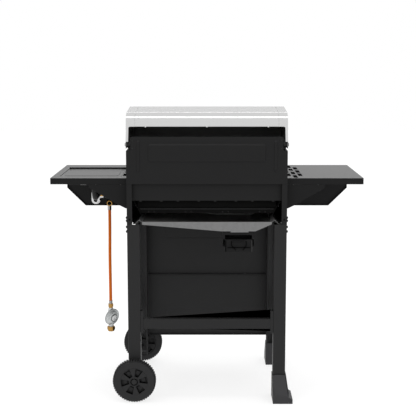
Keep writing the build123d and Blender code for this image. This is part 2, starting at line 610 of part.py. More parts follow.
# ---------------------------------------------------------------- firebox: burners
BURNER_MOUTH = MANIFOLD_Y + 13
BURNER_END = BURNER_RAIL_Y - 8
with BuildPart() as one_burner:
    rod((0, BURNER_MOUTH, BURNER_HEIGHT), (0, BURNER_END, BURNER_HEIGHT), BURNER_RADIUS)
    rod((0, BURNER_MOUTH - 1, BURNER_HEIGHT), (0, BURNER_END - 40, BURNER_HEIGHT),
        BURNER_RADIUS - SHEET, mode=Mode.SUBTRACT)
    # air shutter window in each side of the mouth
    block(-BURNER_RADIUS - 1, BURNER_RADIUS + 1, BURNER_MOUTH + 5, BURNER_MOUTH + 17,
          BURNER_HEIGHT - 6, BURNER_HEIGHT + 6, mode=Mode.SUBTRACT)
    # rear tab over the rail
    tab_z = BURNER_RAIL_TOP + GAP
    tab_y = BURNER_RAIL_Y + SHEET + GAP
    block(-16, 16, BURNER_END - 14, tab_y + SHEET, tab_z, tab_z + SHEET)
    block(-16, 16, tab_y, tab_y + SHEET, BURNER_RAIL_TOP - 19, tab_z + SHEET)
with BuildPart() as burners:
    with Locations([(x, 0, 0) for x in BURNER_XS]):
        add(one_burner.part)
finish(burners, "burners")

with BuildPart() as flame_tamers:
    tamer_front = FIREBOX_FRONT + SHEET + 2
    tamer_rear = FIREBOX_REAR - SHEET - 2
    with BuildSketch(Plane.XZ.offset(-tamer_front)):
        for x in BURNER_XS:
            with BuildLine():
                half = TAMER_WIDTH / 2
                Polyline((x - half, TAMER_SEAT), (x - half + 8, TAMER_SEAT),
                         (x, TAMER_SEAT + TAMER_RISE - SHEET), (x + half - 8, TAMER_SEAT),
                         (x + half, TAMER_SEAT), (x + half, TAMER_SEAT + SHEET),
                         (x + half - 7, TAMER_SEAT + SHEET), (x, TAMER_SEAT + TAMER_RISE + 1),
                         (x - half + 7, TAMER_SEAT + SHEET), (x - half, TAMER_SEAT + SHEET),
                         close=True)
            make_face()
    extrude(amount=-(tamer_rear - tamer_front))
finish(flame_tamers, "flame_tamers")

# ---------------------------------------------------------------- firebox: cooking grates, rack
with BuildPart() as cooking_grates:
    grate_front = FIREBOX_FRONT + SHEET + 1.5
    grate_rear = FIREBOX_REAR - SHEET - 1.5
    grate_low = GRATE_TOP - GRATE_THICKNESS
    border = 8.0
    bar_width = 7.0
    for side in (-1, 1):
        inner_x = side * 1.0
        outer_x = side * (FIREBOX_HALF - 2)
        block(inner_x, outer_x, grate_front, grate_rear, grate_low, GRATE_TOP)
        pitch = (abs(outer_x - inner_x) - 2 * border + bar_width) / (GRATE_BARS + 1)
        half_run = (grate_rear - grate_front) / 2
        with BuildSketch(Plane.XY.offset(grate_low)):
            with Locations(((inner_x + outer_x) / 2, (grate_front + grate_rear) / 2)):
                with GridLocations(pitch, half_run - border / 2, GRATE_BARS + 1, 2):
                    Rectangle(pitch - bar_width, half_run - 3 * border / 2)
        extrude(amount=GRATE_THICKNESS, mode=Mode.SUBTRACT)
finish(cooking_grates, "cooking_grates")

with BuildPart() as warming_rack:
    rack_half = FIREBOX_HALF - 5
    for side in (-1, 1):
        rod((side * rack_half, RACK_FRONT, RACK_HEIGHT), (side * rack_half, RACK_REAR, RACK_HEIGHT),
            RACK_RAIL)
    for i in range(7):
        y = RACK_FRONT + 4 + i * (RACK_REAR - RACK_FRONT - 8) / 6
        rod((-rack_half, y, RACK_HEIGHT), (rack_half, y, RACK_HEIGHT), 2)
finish(warming_rack, "warming_rack")

# ---------------------------------------------------------------- drip tray and its rails
with BuildPart() as tray_rails:
    rail_top = TRAY_LIP - GAP
    rail_end = CART_HALF - LEG_DEPTH - 1
    for side in (-1, 1):
        x_out = side * (BODY_HALF - SHEET)
        x_in = side * (TRAY_WIDTH / 2 + 24)
        block(x_in, x_out, -rail_end, rail_end, rail_top - SHEET, rail_top)
        block(x_out - side * SHEET, x_out, -rail_end, rail_end, rail_top, rail_top + 16)
finish(tray_rails, "tray_rails")

with BuildPart() as drip_tray:
    half = TRAY_WIDTH / 2
    flat_l = OUTLET_X - OUTLET_WIDTH / 2
    flat_r = OUTLET_X + OUTLET_WIDTH / 2
    wall_low = TRAY_RIM - TRAY_WALL
    outer = [(-half, TRAY_RIM), (-half, wall_low + 1.5), (flat_l, TRAY_FLOOR), (flat_r, TRAY_FLOOR),
             (half, wall_low), (half, TRAY_RIM)]
    with BuildSketch(Plane.XZ.offset(-TRAY_FRONT)):
        with BuildLine():
            Polyline(outer, close=True)
        make_face()
    extrude(amount=-(TRAY_REAR - TRAY_FRONT))
    with BuildSketch(Plane.XZ.offset(-TRAY_FRONT - SHEET)):
        with BuildLine():
            Polyline((-half + SHEET, TRAY_RIM + 1), (-half + SHEET, wall_low + 3.2),
                     (flat_l, TRAY_FLOOR + SHEET), (flat_r, TRAY_FLOOR + SHEET),
                     (half - SHEET, wall_low + 1.6), (half - SHEET, TRAY_RIM + 1), close=True)
        make_face()
    extrude(amount=-(TRAY_REAR - TRAY_FRONT - 2 * SHEET), mode=Mode.SUBTRACT)
    # folded sides: up, over, and out to the lips that slide on the rails
    with BuildSketch(Plane.XZ.offset(-TRAY_FRONT)):
        for side in (-1, 1):
            peak = side * (half + 12)
            heel = side * (half + 26)
            lip = side * (half + 37)
            with BuildLine():
                Polyline((side * half, TRAY_RIM - 1.5), (peak, TRAY_RIM + 6), (heel, TRAY_LIP),
                         (lip, TRAY_LIP), (lip, TRAY_LIP + SHEET),
                         (heel + side * 0.5, TRAY_LIP + SHEET), (peak, TRAY_RIM + 8),
                         (side * half, TRAY_RIM), (side * (half - SHEET), TRAY_RIM),
                         (side * (half - SHEET), TRAY_RIM - 1.5), close=True)
            make_face()
    extrude(amount=-(TRAY_REAR - TRAY_FRONT))
    # outlet over the grease cup
    rod((OUTLET_X, OUTLET_Y, TRAY_FLOOR - 1), (OUTLET_X, OUTLET_Y, TRAY_FLOOR + SHEET + 1),
        OUTLET_RADIUS, mode=Mode.SUBTRACT)
finish(drip_tray, "drip_tray")

# ---------------------------------------------------------------- grease cup and its holder
CUP_HALF = CUP_WIDTH / 2
HOLDER_WIDTH = CUP_WIDTH + 15
HOLDER_REAR = TRAY_REAR - 4
HOLDER_FRONT = HOLDER_REAR - CUP_DEPTH - 4
HOLDER_LEDGE = CUP_TOP - 29
with BuildPart() as cup_holder:
    # five sheets, spot-welded at the corners
    half = HOLDER_WIDTH / 2
    left = OUTLET_X - half
    right = OUTLET_X + half
    wall_top = TRAY_FLOOR - SHEET - FIT
    # hanger plate under the tray, with the drain hole
    block(left, right, HOLDER_FRONT, HOLDER_REAR, TRAY_FLOOR - SHEET, TRAY_FLOOR)
    rod((OUTLET_X, OUTLET_Y, TRAY_FLOOR - SHEET - 1), (OUTLET_X, OUTLET_Y, TRAY_FLOOR + 1),
        OUTLET_RADIUS, mode=Mode.SUBTRACT)
    # two side walls with ledges, and a front stop
    wall_front = HOLDER_FRONT + SHEET + FIT
    wall_rear = HOLDER_REAR - SHEET - FIT
    for side in (-1, 1):
        x_out = OUTLET_X + side * half
        x_ledge = OUTLET_X + side * (CUP_HALF + GAP)
        block(x_out - side * SHEET, x_out, wall_front, wall_rear, HOLDER_LEDGE, wall_top)
        block(x_ledge, x_out, wall_front, wall_rear, HOLDER_LEDGE, HOLDER_LEDGE + SHEET)
    block(left, right, HOLDER_FRONT, HOLDER_FRONT + SHEET, HOLDER_LEDGE, wall_top)
    # apron at the rear with a slot to look into the cup
    block(left, right, HOLDER_REAR - SHEET, HOLDER_REAR, CUP_TOP + GAP, wall_top)
    with BuildSketch(Plane.XZ.offset(-HOLDER_REAR - 1)):
        with Locations((OUTLET_X, CUP_TOP + 9.5)):
            RectangleRounded(CUP_WIDTH - 2, 17, 3)
    extrude(amount=SHEET + 2, mode=Mode.SUBTRACT)
finish(cup_holder, "cup_holder")

with BuildPart() as grease_cup:
    cup_rear = HOLDER_REAR - 1
    cup_front = HOLDER_FRONT + SHEET + 2 * GAP
    cup_y = (cup_rear + cup_front) / 2
    cup_depth = cup_rear - cup_front
    with BuildSketch(Plane.XY.offset(CUP_BOTTOM)):
        with Locations((OUTLET_X, cup_y)):
            RectangleRounded(CUP_WIDTH, cup_depth, 5)
    extrude(amount=CUP_TOP - CUP_BOTTOM)
    with BuildSketch(Plane.XY.offset(CUP_BOTTOM + SHEET)):
        with Locations((OUTLET_X, cup_y)):
            RectangleRounded(CUP_WIDTH - 2 * SHEET, cup_depth - 2 * SHEET, 5 - SHEET)
    extrude(amount=CUP_TOP - CUP_BOTTOM, mode=Mode.SUBTRACT)
    # side beads that hang on the ledges of the holder
    bead_low = HOLDER_LEDGE + SHEET + GAP
    for side in (-1, 1):
        x_in = OUTLET_X + side * (CUP_HALF - SHEET)
        x_bead = OUTLET_X + side * (HOLDER_WIDTH / 2 - SHEET - 1)
        block(x_in, x_bead, cup_front + 6, cup_rear - 6, bead_low, bead_low + 3)
    # pull lip at the rear rim
    lip_top = CUP_TOP - 6.5
    block(OUTLET_X - 24, OUTLET_X + 24, cup_rear - SHEET, cup_rear + 9, lip_top - SHEET, lip_top)
finish(grease_cup, "grease_cup")

# ---------------------------------------------------------------- control panel
with BuildPart() as control_panel:
    top_mid = RIM_FRONT - 8
    end_x = TABLE_HALF - GAP
    slant_z = PANEL_TOP - PANEL_CORNER_DROP
    low_x = PANEL_BOTTOM_WIDTH / 2
    outline = [(-end_x, PANEL_TOP), (-BODY_HALF, PANEL_TOP), (-BODY_HALF, top_mid),
               (BODY_HALF, top_mid), (BODY_HALF, PANEL_TOP), (end_x, PANEL_TOP), (end_x, slant_z),
               (low_x, PANEL_BOTTOM), (-low_x, PANEL_BOTTOM), (-end_x, slant_z)]
    with BuildSketch(Plane.XZ.offset(-TABLE_FRONT)):
        with BuildLine():
            Polyline(outline, close=True)
        make_face()
    extrude(amount=-PANEL_RETURN)
    with BuildSketch(Plane.XZ.offset(-TABLE_FRONT - SHEET)):
        with BuildLine():
            Polyline(outline, close=True)
        make_face()
        offset(amount=-SHEET, kind=Kind.INTERSECTION, mode=Mode.REPLACE)
    extrude(amount=-PANEL_RETURN, mode=Mode.SUBTRACT)
    # shelf back to the firebox
    shelf_half = FIREBOX_HALF - GAP
    block(-shelf_half, shelf_half, PANEL_BACK - 1, FIREBOX_FRONT, top_mid - SHEET, top_mid)
    with BuildSketch(Plane.XZ.offset(-TABLE_FRONT + 1)):
        with Locations([(x, KNOB_Z) for x in KNOB_XS]):
            Circle(STEM_RADIUS + 3)
    extrude(amount=-(SHEET + 2), mode=Mode.SUBTRACT)
finish(control_panel, "control_panel")

with BuildPart() as one_bezel:
    with BuildSketch(Plane.YZ):
        with BuildLine():
            Line((TABLE_FRONT, KNOB_Z + 9), (TABLE_FRONT, KNOB_Z + BEZEL_RADIUS))
            ThreePointArc((TABLE_FRONT, KNOB_Z + BEZEL_RADIUS),
                          (BEZEL_FRONT + 1.6, KNOB_Z + BEZEL_RADIUS - 2.4),
                          (BEZEL_FRONT, KNOB_Z + BEZEL_RADIUS - 7))
            Line((BEZEL_FRONT, KNOB_Z + BEZEL_RADIUS - 7), (BEZEL_FRONT, KNOB_Z + 9))
            Line((BEZEL_FRONT, KNOB_Z + 9), (TABLE_FRONT, KNOB_Z + 9))
        make_face()
    revolve(axis=Axis((0, 0, KNOB_Z), (0, 1, 0)))
with BuildPart() as knob_bezels:
    with Locations([(x, 0, 0) for x in KNOB_XS]):
        add(one_bezel.part)
finish(knob_bezels, "knob_bezels")

# ---------------------------------------------------------------- gas: manifold and valves
VALVE_REAR = MANIFOLD_Y + 11
MANIFOLD_STUB = 26.0            # end of the manifold beyond the hose's inlet
NIPPLE_LENGTH = 12.0
with BuildPart() as gas_manifold:
    manifold_left = min(BURNER_XS) - 20
    nipple = INLET_X + MANIFOLD_STUB - NIPPLE_LENGTH
    rod((manifold_left, MANIFOLD_Y, MANIFOLD_Z), (nipple, MANIFOLD_Y, MANIFOLD_Z), MANIFOLD_RADIUS)
    rod((nipple - 1, MANIFOLD_Y, MANIFOLD_Z), (nipple + NIPPLE_LENGTH, MANIFOLD_Y, MANIFOLD_Z), 8)
    # inlet union, pointing down
    rod((INLET_X, MANIFOLD_Y, MANIFOLD_Z), (INLET_X, MANIFOLD_Y, INLET_BOTTOM), 8.5)
    rod((INLET_X, MANIFOLD_Y, INLET_BOTTOM + 19), (INLET_X, MANIFOLD_Y, INLET_BOTTOM + 10), 11)
    with BuildSketch(Plane.XY.offset(INLET_BOTTOM)):
        with Locations((INLET_X, MANIFOLD_Y)):
            RegularPolygon(12.5, 6)
    extrude(amount=12)
finish(gas_manifold, "gas_manifold")

with BuildPart() as one_valve:
    panel_back = TABLE_FRONT + SHEET
    rod((0, panel_back, KNOB_Z), (0, panel_back + 14, KNOB_Z), 10)
    rod((0, panel_back + 13, KNOB_Z), (0, VALVE_REAR, KNOB_Z), VALVE_RADIUS)
    block(-11, 11, MANIFOLD_Y - 10, VALVE_REAR, MANIFOLD_Z, KNOB_Z)
    rod((0, VALVE_REAR - 1, KNOB_Z), (0, VALVE_REAR + 9, KNOB_Z), 4)
    rod((-20, MANIFOLD_Y, MANIFOLD_Z), (20, MANIFOLD_Y, MANIFOLD_Z), MANIFOLD_RADIUS + 0.2,
        mode=Mode.SUBTRACT)
    rod((0, panel_back - 1, KNOB_Z), (0, panel_back + 37, KNOB_Z), STEM_RADIUS + FIT,
        mode=Mode.SUBTRACT)
with BuildPart() as gas_valves:
    with Locations([(x, 0, 0) for x in KNOB_XS]):
        add(one_valve.part)
finish(gas_valves, "gas_valves")

# ---------------------------------------------------------------- valve stems and knobs
STEM_REAR = TABLE_FRONT + SHEET + 37 - KNOB_PUSH - 2
for number, x in enumerate(KNOB_XS, start=1):
    with BuildPart() as valve_stem:
        rod((x, KNOB_FRONT + 6, KNOB_Z), (x, STEM_REAR, KNOB_Z), STEM_RADIUS)
    finish(valve_stem, f"valve_stem_{number}")

    with BuildPart() as knob:
        with BuildSketch(Plane.YZ.offset(x)):
            with BuildLine():
                Line((KNOB_BACK, KNOB_Z), (KNOB_BACK, KNOB_Z + KNOB_RADIUS))
                Line((KNOB_BACK, KNOB_Z + KNOB_RADIUS), (KNOB_BACK - 4, KNOB_Z + KNOB_RADIUS))
                ThreePointArc((KNOB_BACK - 4, KNOB_Z + KNOB_RADIUS),
                              (KNOB_BACK - 6, KNOB_Z + KNOB_RADIUS - 1.2),
                              (KNOB_BACK - 7.5, KNOB_Z + KNOB_RADIUS - 4))
                Line((KNOB_BACK - 7.5, KNOB_Z + KNOB_RADIUS - 4),
                     (KNOB_FRONT + 8, KNOB_Z + KNOB_RADIUS - 5))
                Line((KNOB_FRONT + 8, KNOB_Z + KNOB_RADIUS - 5), (KNOB_FRONT + 8, KNOB_Z))
                Line((KNOB_FRONT + 8, KNOB_Z), (KNOB_BACK, KNOB_Z))
            make_face()
        revolve(axis=Axis((x, 0, KNOB_Z), (0, 1, 0)))
        with BuildSketch(Plane.XZ.offset(-KNOB_FRONT)):
            with Locations((x, KNOB_Z)):
                SlotOverall(2 * KNOB_RADIUS - 9, 12, rotation=90)
        extrude(amount=-9)
        rod((x, KNOB_FRONT + 5, KNOB_Z), (x, KNOB_BACK + 1, KNOB_Z), STEM_RADIUS + FIT,
            mode=Mode.SUBTRACT)
    finish(knob, f"knob_{number}")


# ---------------------------------------------------------------- side tables
def table_shell(side):
    """Top and skirt of a side table, in the builder that is open."""
    x_mid = side * (BODY_HALF + TABLE_HALF) / 2
    y_mid = (TABLE_FRONT + TABLE_REAR) / 2
    width = TABLE_HALF - BODY_HALF
    depth = TABLE_REAR - TABLE_FRONT
    base = TABLE_HEIGHT - TABLE_SKIRT
    with Locations((x_mid, y_mid, base + TABLE_SKIRT / 2)):
        Box(width, depth, TABLE_SKIRT)
    with Locations((x_mid, y_mid, base + (TABLE_SKIRT - SHEET) / 2)):
        Box(width - 2 * SHEET, depth - 2 * SHEET, TABLE_SKIRT - SHEET, mode=Mode.SUBTRACT)


def table_slots(side, rows_by_column):
    """Columns of long holes beside the firebox, cut in the builder that is open."""
    with BuildSketch(Plane.XY.offset(TABLE_HEIGHT - 2 * SHEET)) as slots:
        for column, rows in enumerate(rows_by_column):
            x = BODY_HALF + SLOT_START + column * SLOT_PITCH_X
            with Locations((side * x, -SLOT_START)):
                with GridLocations(SLOT_PITCH_X, SLOT_PITCH_Y, 1, rows):
                    SlotOverall(SLOT_LENGTH, SLOT_WIDTH, rotation=90)
    extrude(slots.sketch, amount=3 * SHEET, mode=Mode.SUBTRACT)


with BuildPart() as side_table_left:
    table_shell(-1)
    table_slots(-1, (3, 4, 3))
finish(side_table_left, "side_table_left")

WELL_LEDGE_TOP = TABLE_HEIGHT - WELL_STEP - 7.5
with BuildPart() as side_table_right:
    table_shell(1)
    table_slots(1, (3,))
    # collar round the well, and a ledge on three sides for the bowl and the lid
    t = SHEET
    block(WELL_LEFT - t, WELL_RIGHT + t, WELL_FRONT - t, WELL_REAR + t, WELL_LEDGE_TOP - t,
          TABLE_HEIGHT - t / 2)
    block(WELL_LEFT, WELL_RIGHT, WELL_FRONT, WELL_REAR, WELL_LEDGE_TOP, TABLE_HEIGHT + t,
          mode=Mode.SUBTRACT)
    block(WELL_LEFT + 9, WELL_RIGHT - 9, WELL_FRONT, WELL_REAR - 9, WELL_LEDGE_TOP - 2 * t,
          TABLE_HEIGHT + t, mode=Mode.SUBTRACT)
    # sockets for the hinge pins of the side burner's lid
    lid_axis_y = WELL_REAR - 6
    lid_axis_z = TABLE_HEIGHT - WELL_STEP - 2.8
    rod((WELL_LEFT - 2 * t, lid_axis_y, lid_axis_z), (WELL_RIGHT + 2 * t, lid_axis_y, lid_axis_z),
        2.5 + FIT, mode=Mode.SUBTRACT)
finish(side_table_right, "side_table_right")

with BuildPart() as table_gussets:
    low_z = TABLE_HEIGHT - TABLE_SKIRT - GUSSET_DROP
    for side in (-1, 1):
        with BuildSketch(Plane.XZ.offset(-TABLE_REAR)):
            with BuildLine():
                Polyline((side * BODY_HALF, PANEL_TOP), (side * (BODY_HALF + GUSSET_REACH), PANEL_TOP),
                         (side * (BODY_HALF + GUSSET_REACH), PANEL_TOP - 14),
                         (side * (BODY_HALF + 32), low_z + 13), (side * (BODY_HALF + 6), low_z),
                         (side * BODY_HALF, low_z), close=True)
            make_face()
        extrude(amount=SHEET)
        block(side * BODY_HALF, side * (BODY_HALF + SHEET), TABLE_REAR - 18, TABLE_REAR, low_z, PANEL_TOP)
        block(side * BODY_HALF, side * (BODY_HALF + GUSSET_REACH), TABLE_REAR - 18, TABLE_REAR,
              PANEL_TOP - SHEET, PANEL_TOP)
finish(table_gussets, "table_gussets")

# ---------------------------------------------------------------- side burner
BOWL_TOP = WELL_LEDGE_TOP - SHEET
BOWL_FLOOR = BOWL_TOP - BOWL_DEPTH
BOWL_SLOPE = 32.0
GRATE_BAR = 5.0
HEAD_HEIGHT = 20.0
TUBE_RADIUS = 12.0
TUBE_BEND = 26.0
with BuildPart() as side_burner_bowl:
    bowl_w = WELL_RIGHT - WELL_LEFT - 2
    bowl_d = WELL_REAR - WELL_FRONT - 2
    with BuildSketch(Plane.XY.offset(BOWL_TOP)):
        with Locations((WELL_X, WELL_Y)):
            Rectangle(bowl_w, bowl_d)
            RectangleRounded(bowl_w - 28, bowl_d - 28, 22, mode=Mode.SUBTRACT)
    extrude(amount=-SHEET)
    with BuildSketch(Plane.XY.offset(BOWL_TOP)):
        with Locations((WELL_X, WELL_Y)):
            RectangleRounded(bowl_w - 25, bowl_d - 25, 23.5)
    extrude(amount=-BOWL_DEPTH, taper=BOWL_SLOPE)
    with BuildSketch(Plane.XY.offset(BOWL_TOP)):
        with Locations((WELL_X, WELL_Y)):
            RectangleRounded(bowl_w - 28, bowl_d - 28, 22)
    extrude(amount=-BOWL_DEPTH + SHEET, taper=BOWL_SLOPE, mode=Mode.SUBTRACT)
    rod((WELL_X, WELL_Y, BOWL_FLOOR - 1), (WELL_X, WELL_Y, BOWL_FLOOR + 4), 16, mode=Mode.SUBTRACT)
finish(side_burner_bowl, "side_burner_bowl")

with BuildPart() as side_burner:
    floor = BOWL_FLOOR + SHEET
    # foot, waist and flat cap of the head, as shares of its height
    head = [(0, 0), (30, 0), (30, 0.14), (18, 0.24), (22, 0.42), (40, 0.6), (42, 0.75), (36, 0.92),
            (12, 1), (0, 1)]
    with BuildSketch(Plane.XZ.offset(-WELL_Y)):
        with BuildLine():
            Polyline([(WELL_X + r, floor + share * HEAD_HEIGHT) for r, share in head], close=True)
        make_face()
    revolve(axis=Axis((WELL_X, WELL_Y, 0), (0, 0, 1)))
    with BuildSketch(Plane.XY.offset(floor + 0.6 * HEAD_HEIGHT)):
        with Locations((WELL_X, WELL_Y)):
            with PolarLocations(42, 24):
                Rectangle(9, 3)
    extrude(amount=3, mode=Mode.SUBTRACT)
    # mixing tube from the valve to the burner
    mouth = (WELL_X, VALVE_REAR + 3, KNOB_Z)
    with BuildLine():
        FilletPolyline(mouth, (WELL_X, WELL_Y, KNOB_Z), (WELL_X, WELL_Y, floor + 1), radius=TUBE_BEND)
    with BuildSketch(Plane(origin=mouth, z_dir=(0, 1, 0))):
        Circle(TUBE_RADIUS)
        Circle(TUBE_RADIUS - SHEET, mode=Mode.SUBTRACT)
    sweep()
finish(side_burner, "side_burner")

with BuildPart() as side_burner_grate:
    floor = BOWL_FLOOR + SHEET
    top = WELL_LEDGE_TOP - 1
    with BuildSketch(Plane.XY.offset(top - 2 * GRATE_BAR)):
        with Locations((WELL_X, WELL_Y)):
            Circle(78)
            Circle(71, mode=Mode.SUBTRACT)
    extrude(amount=GRATE_BAR + 1)
    with BuildSketch(Plane.XY.offset(top - GRATE_BAR)):
        with Locations((WELL_X, WELL_Y)):
            with PolarLocations(60, 4, start_angle=45):
                Rectangle(72, 6)
    extrude(amount=GRATE_BAR)
    with BuildSketch(Plane.XY.offset(floor)):
        with Locations((WELL_X, WELL_Y)):
            with PolarLocations(90, 4, start_angle=45):
                Rectangle(12, 6)
    extrude(amount=top - floor)
finish(side_burner_grate, "side_burner_grate")

with BuildPart() as side_burner_lid:
    plate_top = TABLE_HEIGHT - WELL_STEP
    x0 = WELL_LEFT + 1.5
    x1 = WELL_RIGHT - 1.5
    y0 = WELL_FRONT + 2
    y1 = lid_axis_y + 3
    block(x0, x1, y0, y1, plate_top - SHEET, plate_top)
    block(x0, x0 + SHEET, y0, lid_axis_y - 6, plate_top - 6, plate_top - SHEET)
    block(x1 - SHEET, x1, y0, lid_axis_y - 6, plate_top - 6, plate_top - SHEET)
    block(x0, x1, y0, y0 + SHEET, plate_top - 6, plate_top + SIDE_LIP)
    rod((WELL_LEFT - 0.5, lid_axis_y, lid_axis_z), (WELL_RIGHT + 0.5, lid_axis_y, lid_axis_z), 2.5)
    with BuildSketch(Plane.XY.offset(plate_top)):
        with Locations((WELL_X, (y0 + y1) / 2)):
            RectangleRounded(x1 - x0 - 26, y1 - y0 - 30, 8)
    extrude(amount=1.0, taper=45)
finish(side_burner_lid, "side_burner_lid")

FEED_RADIUS = 7.5
FEED_BEND = 11.5
FEED_RUN = 20.0                 # straight run from the manifold and from the valve to the loop
with BuildPart() as side_burner_feed:
    feed_start = (INLET_X + MANIFOLD_STUB, MANIFOLD_Y, MANIFOLD_Z)
    feed_end = (WELL_X + VALVE_RADIUS, MANIFOLD_Y, KNOB_Z)
    loop_low = PANEL_BOTTOM + 20
    loop_near = feed_start[0] + FEED_RUN
    loop_far = feed_end[0] + FEED_RUN
    with BuildLine():
        FilletPolyline(feed_start, (loop_near, MANIFOLD_Y, MANIFOLD_Z),
                       (loop_near, MANIFOLD_Y, loop_low), (loop_far, MANIFOLD_Y, loop_low),
                       (loop_far, MANIFOLD_Y, KNOB_Z), feed_end, radius=FEED_BEND)
    with BuildSketch(Plane(origin=feed_start, z_dir=(1, 0, 0))):
        Circle(FEED_RADIUS)
    sweep()
finish(side_burner_feed, "side_burner_feed")


# ---------------------------------------------------------------- lid
def lid_outline():
    """Outer line of the lid, from the rear edge over the crown to the front edge."""
    bends = Polyline(LID_REAR_EDGE, LID_BEND_LOW, LID_BEND_HIGH, LID_CROWN)
    nose = JernArc(start=LID_CROWN, tangent=(-1, 0), radius=LID_NOSE_RADIUS, arc_size=LID_NOSE_TURN)
    front = Line(nose @ 1, (nose @ 1) + (nose % 1) * LID_FRONT_DROP)
    return bends, nose, front


def lid_band(x0, x1, thickness, mode=Mode.ADD):
    """A sheet that follows the lid's outline between two X positions."""
    with BuildSketch(Plane.YZ.offset(x0)) as band:
        with BuildLine() as lines:
            lid_outline()
            offset(amount=thickness, side=Side.LEFT)
        make_face(lines.line.edges())
    extrude(band.sketch, amount=x1 - x0, mode=mode)


with BuildPart() as lid_skin:
    lid_band(-SKIN_HALF + 0.2, SKIN_HALF - 0.2, SHEET)
finish(lid_skin, "lid_skin")

turn = radians(LID_NOSE_TURN)
NOSE_END = Vector(LID_CROWN[0] - LID_NOSE_RADIUS * sin(turn),
                  LID_CROWN[1] - LID_NOSE_RADIUS * (1 - cos(turn)))
FRONT_DOWN = Vector(-cos(turn), -sin(turn))
FRONT_OUT = Vector(-sin(turn), cos(turn))
LID_FRONT_EDGE = NOSE_END + FRONT_DOWN * LID_FRONT_DROP
LID_CLEAR = 6.0

with BuildPart() as lid_end_right:
    lid_band(SKIN_HALF - 13, SKIN_HALF + 11, 2 * SHEET)
    lid_band(SKIN_HALF - 14, SKIN_HALF + 0.2, SHEET, mode=Mode.SUBTRACT)
    lid_band(SKIN_HALF + 0.2, LID_HALF, SHEET)
    plate_x = LID_HALF - SHEET
    heel = (HINGE_Y + 14, RIM_REAR + LID_CLEAR)
    shoulder = (HINGE_Y + 14, HINGE_Z + 12)
    slope_top = (RIM_BREAK - 2, RIM_REAR + LID_CLEAR)
    slope_low = (FIREBOX_FRONT - 4, RIM_FRONT + LID_CLEAR)
    with BuildSketch(Plane.YZ.offset(plate_x)):
        with BuildLine():
            lid_outline()
            Polyline((LID_FRONT_EDGE.X, LID_FRONT_EDGE.Y), slope_low, slope_top, heel, shoulder,
                     LID_REAR_EDGE)
        make_face()
    extrude(amount=SHEET)
    # folded rear edge and folded lower edge
    with BuildSketch(Plane.YZ.offset(LID_HALF - 10)):
        with BuildLine():
            Polyline(shoulder, LID_REAR_EDGE, (LID_REAR_EDGE[0] - SHEET / 2, LID_REAR_EDGE[1] + SHEET),
                     (LID_REAR_EDGE[0] - SHEET, LID_REAR_EDGE[1] - SHEET),
                     (shoulder[0] - SHEET, shoulder[1] - 0.5), close=True)
        make_face()
        with BuildLine():
            Polyline(slope_low, slope_top, (slope_top[0], slope_top[1] + SHEET),
                     (slope_low[0], slope_low[1] + SHEET), close=True)
        make_face()
    extrude(amount=10)
    rod((LID_HALF - 12, HINGE_Y, HINGE_Z), (LID_HALF + 1, HINGE_Y, HINGE_Z),
        HINGE_PIN_RADIUS + FIT, mode=Mode.SUBTRACT)
finish(lid_end_right, "lid_end_right")
lid_end_left = mirrored(lid_end_right, "lid_end_left")

PIN_HEAD_RADIUS = 7.0
PIN_HEAD = 3.0
with BuildPart() as hinge_pins:
    for side in (-1, 1):
        pin_in = side * (ear_x - PIN_HEAD)
        pin_out = side * (LID_HALF + GAP)
        boss_in = side * (ear_x + EAR_THICKNESS + 5)
        boss_out = side * (plate_x - GAP)
        rod((pin_in, HINGE_Y, HINGE_Z), (pin_out, HINGE_Y, HINGE_Z), HINGE_PIN_RADIUS)
        rod((pin_out, HINGE_Y, HINGE_Z), (pin_out + side * PIN_HEAD, HINGE_Y, HINGE_Z), PIN_HEAD_RADIUS)
        rod((pin_in, HINGE_Y, HINGE_Z), (side * ear_x, HINGE_Y, HINGE_Z), PIN_HEAD_RADIUS)
        # boss that keeps the lid's end plate clear of the side
        rod((boss_in, HINGE_Y, HINGE_Z), (boss_out, HINGE_Y, HINGE_Z), HINGE_BOSS_RADIUS)
finish(hinge_pins, "hinge_pins")

handle_foot = NOSE_END + FRONT_DOWN * HANDLE_DROP
HANDLE_Y = (handle_foot + FRONT_OUT * HANDLE_STANDOFF).X
HANDLE_Z = (handle_foot + FRONT_OUT * HANDLE_STANDOFF).Y
with BuildPart() as lid_handle:
    with BuildSketch(Plane.YZ.offset(-HANDLE_LENGTH / 2)):
        with Locations((HANDLE_Y, HANDLE_Z)):
            Circle(HANDLE_RADIUS)
    extrude(amount=HANDLE_LENGTH)
    ends = lid_handle.edges().filter_by(GeomType.CIRCLE)
    fillet(ends, 4)
finish(lid_handle, "lid_handle")

with BuildPart() as handle_arms:
    across = Vector(0, FRONT_DOWN.X, FRONT_DOWN.Y)
    outward = Vector(0, FRONT_OUT.X, FRONT_OUT.Y)
    root = Vector(0, handle_foot.X, handle_foot.Y)
    for side in (-1, 1):
        base_point = root + Vector(side * HANDLE_ARM_X, 0, 0)
        with BuildSketch(Plane(origin=base_point, x_dir=(1, 0, 0), z_dir=outward)):
            RectangleRounded(30, 40, 6)
        with BuildSketch(Plane(origin=base_point + outward * 14, x_dir=(1, 0, 0), z_dir=outward)):
            RectangleRounded(18, 28, 5)
        loft()
        with BuildSketch(Plane(origin=base_point + outward * 13, x_dir=(1, 0, 0), z_dir=outward)):
            RectangleRounded(18, 28, 5)
        extrude(amount=HANDLE_STANDOFF - 13)
        rod((side * HANDLE_ARM_X - 9, HANDLE_Y, HANDLE_Z), (side * HANDLE_ARM_X + 9, HANDLE_Y, HANDLE_Z),
            HANDLE_RADIUS + 4)
    rod((-HANDLE_LENGTH / 2, HANDLE_Y, HANDLE_Z), (HANDLE_LENGTH / 2, HANDLE_Y, HANDLE_Z),
        HANDLE_RADIUS + 0.1, mode=Mode.SUBTRACT)
finish(handle_arms, "handle_arms")

